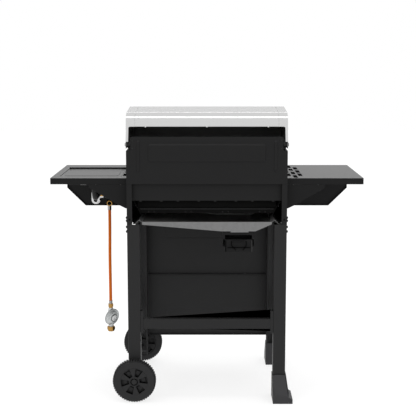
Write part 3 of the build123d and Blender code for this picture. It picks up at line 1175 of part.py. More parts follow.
with BuildPart() as thermometer:
    gauge_foot = NOSE_END + FRONT_DOWN * GAUGE_DROP
    gauge_point = Vector(0, gauge_foot.X, gauge_foot.Y)
    with BuildSketch(Plane(origin=gauge_point, x_dir=(1, 0, 0), z_dir=outward)):
        Circle(GAUGE_RADIUS)
    extrude(amount=9)
    rim_edge = thermometer.edges().filter_by(GeomType.CIRCLE).sort_by(Axis.Y)[0]
    fillet(rim_edge, 2.5)
    with BuildSketch(Plane(origin=gauge_point + outward * 9, x_dir=(1, 0, 0), z_dir=outward)):
        Circle(GAUGE_RADIUS - 4)
    extrude(amount=-2, mode=Mode.SUBTRACT)
finish(thermometer, "thermometer")

# ---------------------------------------------------------------- gas hose and regulator
HOSE_ROUTE = [
    (INLET_X, MANIFOLD_Y, HOSE_TOP),
    (INLET_X, MANIFOLD_Y, HOSE_TOP - 88.0),
    (INLET_X + 2.4, MANIFOLD_Y - 2.0, HOSE_TOP - 203.0),
    (INLET_X + 1.6, MANIFOLD_Y - 1.0, HOSE_TOP - 318.0),
    (INLET_X + 1.6, MANIFOLD_Y - 1.0, HOSE_BOTTOM),
]


def corner_radii(route):
    """Largest arc at each corner: 0.45 of the shorter run over the tangent of half the turn."""
    radii = []
    for before, corner, after in zip(route, route[1:], route[2:]):
        run_in = Vector(*corner) - Vector(*before)
        run_out = Vector(*after) - Vector(*corner)
        half_turn = radians(run_in.get_angle(run_out)) / 2
        radii.append(0.45 * min(run_in.length, run_out.length) / tan(half_turn))
    return radii


hose_radii = corner_radii(HOSE_ROUTE)
print("hose corner radii", [round(r) for r in hose_radii])
with BuildPart() as gas_hose:
    with BuildLine() as hose_line:
        FilletPolyline(*HOSE_ROUTE, radius=hose_radii)
    first_run = Vector(*HOSE_ROUTE[1]) - Vector(*HOSE_ROUTE[0])
    with BuildSketch(Plane(origin=HOSE_ROUTE[0], z_dir=first_run)):
        Circle(HOSE_RADIUS)
    sweep()
hose_length = sum(edge.length for edge in hose_line.edges())
print("hose length", round(hose_length, 1), "volume ratio",
      round(gas_hose.part.volume / (pi * HOSE_RADIUS ** 2 * hose_length), 4))
finish(gas_hose, "gas_hose")

END_X, END_Y = HOSE_ROUTE[-1][:2]
with BuildPart() as hose_ferrules:
    rod((INLET_X, MANIFOLD_Y, HOSE_TOP), (INLET_X, MANIFOLD_Y, HOSE_TOP + 14), HOSE_RADIUS + 1)
    rod((INLET_X, MANIFOLD_Y, HOSE_TOP + 14), (INLET_X, MANIFOLD_Y, INLET_BOTTOM), HOSE_RADIUS + 2.5)
    rod((END_X, END_Y, HOSE_BOTTOM), (END_X, END_Y, HOSE_BOTTOM - 14), HOSE_RADIUS + 1.5)
finish(hose_ferrules, "hose_ferrules")

REGULATOR_TOP = HOSE_BOTTOM - 14
DISC_Z = REGULATOR_TOP - 20 - 37
with BuildPart() as hose_nuts:
    with BuildSketch(Plane.XY.offset(REGULATOR_TOP)):
        with Locations((END_X, END_Y)):
            RegularPolygon(10.5, 6)
    extrude(amount=-11)
    rod((END_X, END_Y, REGULATOR_TOP - 10), (END_X, END_Y, REGULATOR_TOP - 20), 7.5)
    # union nut below the regulator, open for the bottle valve
    nut_top = DISC_Z - 41
    with BuildSketch(Plane.XY.offset(nut_top)):
        with Locations((END_X, END_Y)):
            RegularPolygon(17, 6)
    extrude(amount=-20)
    rod((END_X, END_Y, nut_top - 20), (END_X, END_Y, nut_top - 26), 14)
    rod((END_X, END_Y, nut_top - 27), (END_X, END_Y, nut_top - 8), 10.5, mode=Mode.SUBTRACT)
finish(hose_nuts, "hose_nuts")

REGULATOR_TURN = radians(35.0)   # the diaphragm case faces the rear, turned this much to the left
with BuildPart() as gas_regulator:
    facing = Vector(-sin(REGULATOR_TURN), cos(REGULATOR_TURN), 0)
    case_centre = (END_X, END_Y, DISC_Z)
    with BuildSketch(Plane(origin=case_centre, x_dir=facing, z_dir=facing.cross(Vector(0, 0, 1)))):
        with BuildLine():
            # back cap, flange, stepped front and raised middle, as depth and radius
            Polyline((-19, 0), (-19, 12), (-14, 20), (-6, 26), (-4, 34), (4, 34), (6, 30), (12, 29),
                     (15, 25), (15, 17), (18, 15), (18, 0), close=True)
        make_face()
    revolve(axis=Axis(case_centre, facing))
    rod((END_X, END_Y, DISC_Z + 30), (END_X, END_Y, REGULATOR_TOP - 20), 10)
    rod((END_X, END_Y, DISC_Z - 28), (END_X, END_Y, DISC_Z - 41), 11)
finish(gas_regulator, "gas_regulator")

# ---------------------------------------------------------------- bolts through legs and sides
BOLT_RADIUS = 6.0
BOLT_HEAD = 2.8
BOLT_HEIGHTS = [LEG_TOP + 27, LEG_TOP + 15, LEG_TOP - 8, LEG_TOP - 26]
with BuildPart() as frame_bolts:
    for side in (-1, 1):
        with BuildSketch(Plane.YZ.offset(side * BODY_HALF)):
            with Locations([(y, z) for y in (-LEG_Y, LEG_Y) for z in BOLT_HEIGHTS]):
                Circle(BOLT_RADIUS)
        extrude(amount=side * BOLT_HEAD, taper=40)
finish(frame_bolts, "frame_bolts")
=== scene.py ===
"""Looks of a gas barbecue grill on a wheeled cart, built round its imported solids.

Lengths are in metres, in the frame of the solids: +Z is up, the user stands at -Y and the back is
+Y. The wheels, the side burner and the gas hose are at +X.
"""
import json
import logging
import math
from dataclasses import dataclass
from enum import Enum
from typing import Callable, Sequence

import bmesh
import bpy
import numpy as np
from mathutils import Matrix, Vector

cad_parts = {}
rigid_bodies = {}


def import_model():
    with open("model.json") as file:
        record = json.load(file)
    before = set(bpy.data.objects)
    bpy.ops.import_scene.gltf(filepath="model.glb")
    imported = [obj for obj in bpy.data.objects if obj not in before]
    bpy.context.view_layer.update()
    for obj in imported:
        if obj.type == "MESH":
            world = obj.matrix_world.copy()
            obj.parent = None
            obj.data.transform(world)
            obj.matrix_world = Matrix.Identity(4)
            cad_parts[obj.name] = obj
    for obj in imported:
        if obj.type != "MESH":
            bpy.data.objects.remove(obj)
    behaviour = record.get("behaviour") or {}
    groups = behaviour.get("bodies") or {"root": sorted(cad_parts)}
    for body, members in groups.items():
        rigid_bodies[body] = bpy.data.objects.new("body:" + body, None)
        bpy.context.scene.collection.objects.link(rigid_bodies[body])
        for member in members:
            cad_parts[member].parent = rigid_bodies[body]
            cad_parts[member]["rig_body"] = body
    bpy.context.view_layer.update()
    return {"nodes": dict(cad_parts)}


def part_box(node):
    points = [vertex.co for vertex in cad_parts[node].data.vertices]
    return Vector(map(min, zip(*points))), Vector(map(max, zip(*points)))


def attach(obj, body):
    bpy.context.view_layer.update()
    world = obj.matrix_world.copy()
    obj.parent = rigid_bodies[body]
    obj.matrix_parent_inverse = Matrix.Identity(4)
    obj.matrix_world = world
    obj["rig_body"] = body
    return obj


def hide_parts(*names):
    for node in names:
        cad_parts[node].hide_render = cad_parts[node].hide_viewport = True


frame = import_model()
log = logging.getLogger("grill")

Pair = tuple[float, float]
Point = tuple[float, float, float]
Profile = Sequence[Pair]
Colour = tuple[float, float, float]

MM = 0.001
REAR: Point = (0.0, 1.0, 0.0)
UP: Point = (0.0, 0.0, 1.0)
DOWN: Point = (0.0, 0.0, -1.0)
EVEN: Point = (1.0, 1.0, 1.0)
SIDES = (-1.0, 1.0)
MERGE = 1e-6
DEGENERATE = 1e-7
CREASE = 35.0
HEAD_STEPS = 14
NUT_STEPS = 60
BEND_NEAR = 0.0035
BEND_SEGMENTS = 8
BEND_ANGLE = 8.0
BOX_QUADS = np.array([[0, 1, 2, 3], [7, 6, 5, 4], [0, 4, 5, 1], [1, 5, 6, 2], [2, 6, 7, 3],
                      [3, 7, 4, 0]])


# ---------------------------------------------------------------- shader expressions
def operators(operation: str) -> tuple[Callable, Callable]:
    """Makes an operator's plain and reflected methods, which add one Math node each.

    Args:
        operation: the Math node's operation.

    Returns:
        The methods for signal + value and for value + signal.
    """
    def plain(self: "Signal", other: object) -> "Signal":
        """Signal first."""
        return self.recipe.node("ShaderNodeMath", {"operation": operation}, {0: self, 1: other})

    def reflected(self: "Signal", other: object) -> "Signal":
        """Signal second."""
        return self.recipe.node("ShaderNodeMath", {"operation": operation}, {0: other, 1: self})
    return plain, reflected


class Signal:
    """A node's output that takes part in sums: signal * 2 + 1 adds the Math nodes it needs."""

    __add__, __radd__ = operators("ADD")
    __sub__, __rsub__ = operators("SUBTRACT")
    __mul__, __rmul__ = operators("MULTIPLY")

    def __init__(self, recipe: "Recipe", socket: bpy.types.NodeSocket) -> None:
        """Wraps one socket of a recipe's tree."""
        self.recipe = recipe
        self.socket = socket


class Recipe:
    """The node tree of one material, with its Principled shader ready."""

    def __init__(self, name: str) -> None:
        """Starts an empty material.

        Args:
            name: the material's name.
        """
        self.material = bpy.data.materials.new(name)
        self.material.use_nodes = True
        self.tree = self.material.node_tree
        self.shader = self.tree.nodes["Principled BSDF"]
        self.place = self.node("ShaderNodeTexCoord", {}, {}, "Object")

    def node(self, kind: str, settings: dict, sockets: dict, out: object = 0) -> Signal:
        """Adds a node.

        Args:
            kind: the node's type.
            settings: properties, set first; a ramp takes its stops under "stops".
            sockets: input name or number to a value or a Signal.
            out: name or number of the output to return.

        Returns:
            The output as a Signal.
        """
        made = self.tree.nodes.new(kind)
        for key, value in settings.items():
            if key == "stops":
                ramp = made.color_ramp
                while len(ramp.elements) < len(value):
                    ramp.elements.new(0.5)
                for element, (at, colour) in zip(ramp.elements, value):
                    element.position = at
                    element.color = (*colour, 1.0)
            else:
                setattr(made, key, value)
        for key, value in sockets.items():
            self.feed(made, key, value)
        return Signal(self, made.outputs[out])

    def feed(self, node: bpy.types.Node, key: object, value: object) -> None:
        """Links a Signal to a node's input, or sets a plain value there.

        Args:
            node: the node.
            key: name or number of its input.
            value: a Signal or a value.
        """
        if isinstance(value, Signal):
            self.tree.links.new(value.socket, node.inputs[key])
        else:
            node.inputs[key].default_value = value

    def set(self, **values: object) -> None:
        """Sets or links the shader's sockets; Base_Color means Base Color."""
        for key, value in values.items():
            self.feed(self.shader, key.replace("_", " "), value)

    def stretched(self, stretch: Point = EVEN) -> Signal:
        """Object coordinates, scaled along each axis."""
        return self.node("ShaderNodeMapping", {}, {"Vector": self.place, "Scale": stretch})

    def noise(self, scale: float, detail: float = 3.0, stretch: Point = EVEN) -> Signal:
        """Smooth noise between 0 and 1, with the given number of waves per metre."""
        sockets = {"Vector": self.stretched(stretch), "Scale": scale, "Detail": detail,
                   "Roughness": 0.55}
        return self.node("ShaderNodeTexNoise", {}, sockets, "Fac")

    def blend(self, factor: Signal, low: Colour, high: Colour) -> Signal:
        """A colour between low and high."""
        return self.node("ShaderNodeMix", {"data_type": "RGBA"},
                         {0: factor, 6: (*low, 1.0), 7: (*high, 1.0)}, 2)

    def bump(self, height: Signal, depth: float) -> None:
        """Raises the surface by height times depth, in metres."""
        self.set(Normal=self.node("ShaderNodeBump", {}, {"Height": height, "Distance": depth,
                                                          "Strength": 1.0}, "Normal"))


# ---------------------------------------------------------------- finishes
def shade(colour: Colour, factor: float) -> Colour:
    """A colour made lighter or darker."""
    return tuple(min(1.0, c * factor) for c in colour)


def grey(level: float, blue: float | None = None) -> Colour:
    """A grey, with another level of blue where one is given."""
    return level, level, level if blue is None else blue


@dataclass(frozen=True)
class Finish:
    """A surface with a colour that varies a little, fine grain and uneven gloss.

    The colour moves between tone * (1 - mottle) and tone * (1 + mottle) with slow noise. The gloss
    moves about roughness by uneven. The grain is noise of grain waves per metre, raised by depth.
    """

    name: str
    tone: Colour
    roughness: float
    metallic: float = 0.0
    specular: float = 0.5
    mottle: float = 0.06
    mottle_waves: float = 14.0
    uneven: float = 0.04
    grain: float = 900.0
    depth: float = 0.00005
    stretch: Point = EVEN
    edge_tint: float = 1.0

    def tones(self) -> tuple[Colour, Colour]:
        """The darkest and the palest tone."""
        return shade(self.tone, 1 - self.mottle), shade(self.tone, 1 + self.mottle)

    def surface(self, recipe: Recipe) -> tuple[Signal, Signal]:
        """Works out what varies over the surface; other finishes do this in their own way.

        Args:
            recipe: the material's tree, whose roughness is set here.

        Returns:
            The colour and the height of the surface.
        """
        slow = recipe.noise(self.mottle_waves, 2.0)
        fine = recipe.noise(self.grain, 3.0, self.stretch)
        recipe.set(Roughness=(slow + fine - 1.0) * self.uneven + self.roughness)
        return recipe.blend(slow, *self.tones()), fine

    def make(self) -> bpy.types.Material:
        """Builds the material.

        Returns:
            A material whose fixed numbers are on the shader's own sockets.
        """
        recipe = Recipe(self.name)
        colour, height = self.surface(recipe)
        recipe.set(Base_Color=colour, Metallic=self.metallic, Specular_IOR_Level=self.specular,
                   Specular_Tint=(*(self.edge_tint,) * 3, 1.0))
        recipe.bump(height, self.depth)
        return recipe.material


@dataclass(frozen=True)
class Enamel(Finish):
    """Baked enamel on sheet: even, with a very fine grain."""

    roughness: float = 0.5
    mottle: float = 0.05
    grain: float = 1500.0
    depth: float = 0.00003


@dataclass(frozen=True)
class Metal(Finish):
    """Bare metal."""

    metallic: float = 1.0


@dataclass(frozen=True)
class Galvanised(Finish):
    """Zinc-coated sheet: flat crystals, each with its own shade, in cells of a few millimetres."""

    cells: float = 95.0

    def surface(self, recipe: Recipe) -> tuple[Signal, Signal]:
        """The shade of each crystal is the colour of its Voronoi cell, softened with slow noise.

        Args:
            recipe: the material's tree, whose roughness is set here.

        Returns:
            The colour and the height of the surface.
        """
        slow = recipe.noise(self.mottle_waves, 2.0)
        cell = recipe.node("ShaderNodeTexVoronoi", {"feature": "F1"},
                           {"Vector": recipe.stretched(), "Scale": self.cells}, "Color")
        part = recipe.node("ShaderNodeSeparateColor", {}, {0: cell}, 0)
        mixed = part * 0.6 + slow * 0.4
        recipe.set(Roughness=part * self.uneven + self.roughness)
        return recipe.blend(mixed, *self.tones()), recipe.noise(self.grain, 2.0)


@dataclass(frozen=True)
class Seasoned(Finish):
    """Hot metal: clean steel that turns brown and then sooty in slow patches."""

    soot: Colour = (0.008, 0.007, 0.006)

    def surface(self, recipe: Recipe) -> tuple[Signal, Signal]:
        """The patches are slow noise pushed to its ends by a ramp.

        Args:
            recipe: the material's tree, whose roughness is set here.

        Returns:
            The colour and the height of the surface.
        """
        slow = recipe.noise(self.mottle_waves, 4.0)
        stops = [(0.38, grey(0.0)), (0.62, grey(1.0))]
        patch = recipe.node("ShaderNodeValToRGB", {"stops": stops}, {0: slow})
        factor = recipe.node("ShaderNodeSeparateColor", {}, {0: patch}, 0)
        fine = recipe.noise(self.grain, 3.0, self.stretch)
        recipe.set(Roughness=factor * self.uneven + self.roughness)
        return recipe.blend(factor, self.tone, self.soot), fine


class Coat(Enum):
    """Every finish of the grill; some of them paint light or shade onto parts."""

    BODY = Enamel("body_enamel", grey(0.0122, 0.0124), specular=0.125)
    # The black enamel painted darker: painted shade on the table skirts, gussets, cup holder and
    # cup.
    SKIRT = Enamel("enamel_painted_shade", grey(0.0108, 0.011), specular=0.1)
    # The black enamel painted lighter: painted light on the front panels, which stand in shade, and
    # on the burner rail's top strip.
    PANEL = Enamel("enamel_painted_light", grey(0.0255, 0.0258), specular=0.12)
    # The black enamel painted a little lighter: painted light on the legs, side rails, crossbar and
    # tray rails; on the drip tray's outer flanges it is painted shade.
    LEG = Enamel("enamel_painted_soft_light", grey(0.0195, 0.0198), 0.48, specular=0.15)
    # The black enamel painted much lighter: painted light on the front legs' rear faces, which
    # stand in shade.
    FLANGE = Enamel("enamel_painted_bright_light", grey(0.09, 0.091), specular=0.12)
    TABLE = Enamel("table_enamel", grey(0.013, 0.0133), 0.36, specular=0.24, mottle=0.03,
                   mottle_waves=60.0, uneven=0.01, grain=1600.0, depth=0.00001)
    LID = Metal("lid_silver", grey(0.635), 0.18, mottle=0.004, uneven=0.002, grain=2400.0,
                depth=0.000001, edge_tint=0.8)
    INSIDE = Finish("lid_inside", grey(0.16, 0.157), 0.7, specular=0.05, mottle=0.15)
    # Matte dark: the firebox's own inside, and painted shade where it goes on the front panels' top
    # folds, the strip over their gap and the side burner lid's undersides and edges.
    DEEP = Finish("dark_inside_and_painted_shade", grey(0.0155, 0.0152), 0.8, specular=0.0, mottle=0.2)
    SHADE = Finish("shaded_sheet", grey(0.0075, 0.0074), 0.8, specular=0.0, mottle=0.15)
    ZINC = Galvanised("galvanised_sheet", grey(0.205), 0.42, metallic=0.9, mottle=0.12,
                      mottle_waves=12.0, uneven=0.1, grain=500.0, depth=0.00001, edge_tint=0.35)
    TRAY_INSIDE = Finish("greasy_tray", (0.26, 0.255, 0.25), 0.55, metallic=0.2, specular=0.1,
                         mottle=0.3, mottle_waves=7.0, edge_tint=0.2)
    PLATED = Metal("plated_steel", grey(0.42, 0.41), 0.34, mottle=0.05)
    # Mid grey: painted shade on the drip tray's sloped inner flanges, and a painted highlight on
    # the bar under the side burner's bowl.
    EDGE = Finish("painted_edge_light_and_shade", grey(0.085), 0.45, specular=0.1)
    BOLT = Finish("blackened_bolt", grey(0.012), 0.45, specular=0.25)
    # Painted glint: a lighter grey on screw heads and on the cup's edge strip, standing for
    # highlights.
    GLINT = Finish("screw_glint", grey(0.045), 0.45, metallic=0.3, specular=0.2)
    STAINLESS = Metal("brushed_stainless", (0.48, 0.475, 0.47), 0.3, mottle=0.03, grain=260.0,
                      stretch=(0.05, 6.0, 6.0), depth=0.00001)
    BURNER = Seasoned("used_burner", (0.06, 0.052, 0.045), 0.42, metallic=0.8, mottle_waves=9.0,
                      uneven=0.25, grain=700.0, soot=(0.01, 0.009, 0.008))
    CAST = Finish("cast_enamel", grey(0.012), 0.55, specular=0.3, grain=420.0, depth=0.00025)
    WIRE = Metal("chrome_wire", grey(0.55), 0.18, mottle=0.02)
    FOOT = Finish("foot_plastic", grey(0.034, 0.036), 0.52, specular=0.22, grain=1100.0,
                  depth=0.00008)
    WHEEL = Finish("wheel_plastic", grey(0.0165, 0.017), 0.5, specular=0.22, depth=0.00006)
    KNOB = Finish("knob_plastic", grey(0.01), 0.3, specular=0.4, grain=800.0, depth=0.00002)
    BEZEL = Metal("bezel_chrome", grey(0.58, 0.59), 0.14, mottle=0.02)
    BRASS = Metal("brass", (0.42, 0.24, 0.072), 0.24, mottle=0.1, mottle_waves=80.0,
                  grain=1500.0, depth=0.00001, edge_tint=0.6)
    PIPE = Metal("gas_pipe", grey(0.6), 0.12, mottle=0.1, mottle_waves=90.0)
    HOSE = Finish("hose_rubber", (0.66, 0.145, 0.018), 0.62, specular=0.0, mottle=0.03,
                  grain=700.0, depth=0.00003)
    # Black: the real sleeves, plugs and bolts, and painted shade where it goes in the wheels'
    # pockets, inside the tables, in the elbow's bore and along the cup's pressed lines.
    SLEEVE = Finish("black_parts_and_painted_shade", grey(0.0025), 0.6, specular=0.01)
    CRIMP = Metal("crimped_ferrule", (0.36, 0.34, 0.33), 0.25, mottle=0.04, edge_tint=0.7)
    REGULATOR = Finish("cast_zinc", (0.6, 0.62, 0.62), 0.4, metallic=0.85, mottle=0.1,
                       mottle_waves=40.0, grain=700.0, depth=0.00012, edge_tint=0.45)
    BUTTON = Finish("machined_zinc", (0.74, 0.75, 0.75), 0.34, metallic=0.8, mottle=0.03)
    GROOVE = Finish("shaded_groove", (0.3, 0.31, 0.31), 0.45, metallic=0.8, mottle=0.05,
                    edge_tint=0.5)
    DIAL = Finish("dial_white", grey(0.72, 0.7), 0.4)
    INK = Finish("dial_ink", grey(0.012), 0.5)
    MARK = Finish("pointer_white", grey(0.68, 0.66), 0.45)
    NEEDLE = Finish("needle_red", (0.55, 0.02, 0.01), 0.4)


def read(items: "bpy.types.bpy_prop_collection", name: str) -> np.ndarray:
    """Reads a vector from each of a mesh's vertices or faces.

    Args:
        items: the mesh's vertices or polygons.
        name: the property, such as "co".

    Returns:
        An array with a row of three for each.
    """
    values = np.empty(len(items) * 3)
    items.foreach_get(name, values)
    return values.reshape(-1, 3)


@dataclass(frozen=True)
class Faces:
    """A mesh's faces: their centres (x, y, z) and outward normals (nx, ny, nz), an array each."""

    x: np.ndarray
    y: np.ndarray
    z: np.ndarray
    nx: np.ndarray
    ny: np.ndarray
    nz: np.ndarray

    @property
    def centres(self) -> np.ndarray:
        """The centres in rows of three."""
        return np.stack([self.x, self.y, self.z], -1)

    @property
    def normals(self) -> np.ndarray:
        """The normals in rows of three."""
        return np.stack([self.nx, self.ny, self.nz], -1)


Test = Callable[[Faces], np.ndarray]
Area = tuple[Coat, Test]


class Paintbox:
    """Makes each finish once and puts it on pieces."""

    def __init__(self) -> None:
        """Starts with no material made."""
        self.made: dict[Coat, bpy.types.Material] = {}

    def material(self, coat: Coat) -> bpy.types.Material:
        """Gives a finish's material, made when it is first asked for.

        Args:
            coat: the finish.

        Returns:
            Its material.
        """
        if coat not in self.made:
            self.made[coat] = coat.value.make()
        return self.made[coat]

    def coat(self, piece: bpy.types.Object, base: Coat, *areas: Area) -> None:
        """Gives a piece its finish, and other finishes to some of its faces.

        Args:
            piece: the mesh or curve to dress.
            base: the finish of all faces that no area takes.
            areas: finishes with a test of the faces; a later one wins.
        """
        piece.data.materials.clear()
        piece.data.materials.append(self.material(base))
        if not areas:
            return
        polygons = piece.data.polygons
        faces = Faces(*read(polygons, "center").T, *read(polygons, "normal").T)
        slots = np.zeros(len(polygons), np.int32)
        for number, (coat, test) in enumerate(areas, start=1):
            piece.data.materials.append(self.material(coat))
            slots[test(faces)] = number
        polygons.foreach_set("material_index", slots)


# ---------------------------------------------------------------- meshes
def object_from(name: str, points: np.ndarray, faces: np.ndarray) -> bpy.types.Object:
    """Makes a mesh object and links it to the scene.

    Args:
        name: its name.
        points: an array whose last axis is X, Y, Z.
        faces: rows of point numbers.

    Returns:
        The object.
    """
    mesh = bpy.data.meshes.new(name)
    mesh.from_pydata(points.reshape(-1, 3).tolist(), [], faces.tolist())
    made = bpy.data.objects.new(name, mesh)
    bpy.context.scene.collection.objects.link(made)
    return made


def grid_faces(rows: int, columns: int, looped: bool) -> np.ndarray:
    """Joins a grid of points with quads.

    Args:
        rows: how many rows of points.
        columns: how many points in each row.
        looped: whether the last row is joined to the first; if not, each row is a closed ring.

    Returns:
        Rows of four point numbers.
    """
    i = np.arange(rows if looped else rows - 1)[:, None]
    j = np.arange(columns - 1 if looped else columns)[None, :]
    i1, j1 = (i + 1) % rows, (j + 1) % columns
    quads = [i * columns + j, i * columns + j1, i1 * columns + j1, i1 * columns + j]
    return np.stack(quads, -1).reshape(-1, 4)


def smooth(piece: bpy.types.Object, crease: float) -> None:
    """Shades a piece smooth up to the crease angle in degrees."""
    piece.data.polygons.foreach_set("use_smooth", np.ones(len(piece.data.polygons), bool))
    piece.data.set_sharp_from_angle(angle=math.radians(crease))


def settle(piece: bpy.types.Object, crease: float = CREASE) -> bpy.types.Object:
    """Merges doubles, points the faces outwards and shades smooth.

    Args:
        piece: the mesh object.
        crease: edges that turn more than this many degrees stay sharp.

    Returns:
        The same object.
    """
    shape = bmesh.new()
    shape.from_mesh(piece.data)
    bmesh.ops.remove_doubles(shape, verts=shape.verts, dist=MERGE)
    bmesh.ops.dissolve_degenerate(shape, edges=shape.edges, dist=DEGENERATE)
    bmesh.ops.recalc_face_normals(shape, faces=shape.faces)
    shape.to_mesh(piece.data)
    shape.free()
    smooth(piece, crease)
    return piece


def skin(name: str, points: np.ndarray, looped: bool, crease: float = CREASE) -> bpy.types.Object:
    """Makes a surface over a grid of points, with its rows looped or each row a closed ring."""
    return settle(object_from(name, points, grid_faces(*points.shape[:2], looped)), crease)


def gathered(name: str, parts: Sequence[bpy.types.Object]) -> bpy.types.Object:
    """Joins several meshes into one object, each with its shading kept.

    Args:
        name: the new object's name.
        parts: the objects, which are used up.

    Returns:
        The new object.
    """
    shape = bmesh.new()
    for part in parts:
        shape.from_mesh(part.data)
        bpy.data.objects.remove(part)
    made = object_from(name, np.zeros((0, 3)), np.zeros((0, 4), int))
    shape.to_mesh(made.data)
    shape.free()
    return made


def turned_points(levels: np.ndarray, radii: np.ndarray, origin: Sequence[float],
                  axis: Sequence[float]) -> np.ndarray:
    """Points of a turned shape: origin + axis * level + radius * direction(angle).

    Args:
        levels: distance along the axis of each ring.
        radii: radius by ring and angle.
        origin: a point on the axis.
        axis: its direction.

    Returns:
        An array of rings by angles by 3.
    """
    main = np.asarray(axis, float)
    main = main / np.linalg.norm(main)
    first = np.cross(UP if abs(main[2]) < 0.9 else (1.0, 0.0, 0.0), main)
    first = first / np.linalg.norm(first)
    second = np.cross(main, first)
    angle = np.linspace(0, 2 * np.pi, radii.shape[1], endpoint=False)
    across = np.cos(angle)[:, None] * first + np.sin(angle)[:, None] * second
    return np.asarray(origin) + levels[:, None, None] * main + radii[..., None] * across


def turned(name: str, profile: Profile, places: Sequence[Sequence[float]],
           axis: Sequence[float], steps: int = 48) -> bpy.types.Object:
    """Makes solids of revolution, closed where the radius is 0: one profile added to each place.

    Args:
        name: the object's name.
        profile: (level, radius) of each ring.
        places: where the levels start, for each solid.
        axis: the way they go.
        steps: points round each solid.

    Returns:
        One object with all of them.
    """
    pairs = np.asarray(profile, float)
    one = turned_points(pairs[:, 0], np.repeat(pairs[:, 1:2], steps, 1), (0.0, 0.0, 0.0), axis)
    points = np.asarray(places, float)[:, None, None, :] + one[None]
    offsets = np.arange(len(places))[:, None, None] * len(pairs) * steps
    faces = grid_faces(len(pairs), steps, False)[None] + offsets
    return settle(object_from(name, points, faces.reshape(-1, 4)))


def hex_nut(name: str, origin: Point, axis: Point, corner: float, height: float,
            bore: float = 0.0, chamfer: float = 0.0012) -> bpy.types.Object:
    """Makes a nut with chamfered corners.

    A hexagon's radius is its flat's distance / cos(angle from the flat's middle). Each ring's
    radius is the smaller of the hexagon's and the chamfer cone's, which is 0.9 of the corner radius
    at the two faces and clears the corners one chamfer further in.

    Args:
        name: the piece's name.
        origin: middle of the face where it starts.
        axis: the way it extends.
        corner: radius to its corners.
        height: its thickness.
        bore: radius of its hole, or 0.
        chamfer: height of each chamfer.

    Returns:
        The nut.
    """
    angle = np.linspace(0, 2 * np.pi, NUT_STEPS, endpoint=False)
    flat = corner * math.cos(np.pi / 6)
    hexed = flat / np.cos(np.mod(angle + np.pi / 6, np.pi / 3) - np.pi / 6)
    face, hole = np.minimum(hexed, corner * 0.9), np.full(NUT_STEPS, bore)
    levels = [0.0, 0.0, chamfer, height - chamfer, height, height]
    rings = [hole, face, hexed, hexed, face, hole]
    if bore > 0:
        levels.append(0.0)
        rings.append(hole)
    return skin(name, turned_points(np.array(levels), np.stack(rings), origin, axis), False, 20.0)


def layered(name: str, rows: np.ndarray, levels: Sequence[float], across: int,
            looped: bool) -> bpy.types.Object:
    """Makes a thin closed form from rows of flat points, each row at its own level.

    Args:
        name: its name.
        rows: rows by points by two of X, Y, Z.
        levels: each row's place on the axis that rows leave out.
        across: number of that axis.
        looped: whether the rows follow each other round, or each row is a ring.

    Returns:
        The form.
    """
    points = np.insert(rows, across, np.repeat(np.asarray(levels)[:, None], rows.shape[1], 1), -1)
    return skin(name, points, looped)


def boxes(name: str, corners: np.ndarray) -> bpy.types.Object:
    """Makes one mesh of boxes.

    Args:
        name: its name.
        corners: boxes by 8 by 3, four round one face and then the four behind them.

    Returns:
        The mesh object.
    """
    faces = BOX_QUADS[None] + np.arange(len(corners))[:, None, None] * 8
    return settle(object_from(name, corners, faces.reshape(-1, 4)))


def bar(name: str, low: Point, high: Point, chamfer: float = 0.0003) -> bpy.types.Object:
    """Makes a thin bar: two rectangles, the rear one smaller by the chamfer on each side.

    Args:
        name: its name.
        low: its lowest corner.
        high: its highest corner.
        chamfer: how much smaller its rear face is.

    Returns:
        The bar.
    """
    far = np.array([[0, 0, 0], [1, 0, 0], [1, 0, 1], [0, 0, 1], [0, 1, 0], [1, 1, 0], [1, 1, 1],
                    [0, 1, 1]])
    inwards = np.where(far == 1, -1.0, 1.0) * far[:, 1:2] * np.array([1.0, 0.0, 1.0])
    return boxes(name, (np.where(far == 1, high, low) + inwards * chamfer)[None])


def pan_head(radius: float, height: float) -> Profile:
    """Profile of a screw head with a round socket, from its seat outwards."""
    return [(0.0, 0.0), (0.0, radius), (height * 0.45, radius), (height * 0.85, radius * 0.8),
            (height, radius * 0.5), (height * 0.45, radius * 0.42), (height * 0.45, 0.0)]


def fixed_to(piece: bpy.types.Object, node: str) -> bpy.types.Object:
    """Makes a new piece move with a solid's body.

    Args:
        piece: the piece.
        node: the solid.

    Returns:
        The piece.
    """
    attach(piece, frame["nodes"][node]["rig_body"])
    log.info("%s: %d faces", piece.name, len(piece.data.polygons))
    return piece


def stands_for(piece: bpy.types.Object, node: str) -> bpy.types.Object:
    """Makes a new piece stand for a solid."""
    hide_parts(node)
    return fixed_to(piece, node)


def on_bend(edge: bmesh.types.BMEdge, y: float, z: float) -> bool:
    """Tells whether an edge is part of a bend along X.

    Args:
        edge: the edge.
        y: the bend's Y.
        z: the bend's Z.

    Returns:
        True where it runs along X, near that place, and the sheet turns there.
    """
    first, second = (vertex.co for vertex in edge.verts)
    return (edge.is_manifold and abs(first.y - second.y) < 1e-5 and abs(first.z - second.z) < 1e-5
            and math.hypot(first.y - y, first.z - z) < BEND_NEAR
            and edge.calc_face_angle() > math.radians(BEND_ANGLE))


def rounded(shape: bmesh.types.BMesh, edges: list, reach: float, segments: int) -> None:
    """Rounds edges of a shape; the rounding starts at reach from each."""
    bmesh.ops.bevel(shape, geom=edges, offset=reach, segments=segments, profile=0.5,
                    affect="EDGES", clamp_overlap=True)


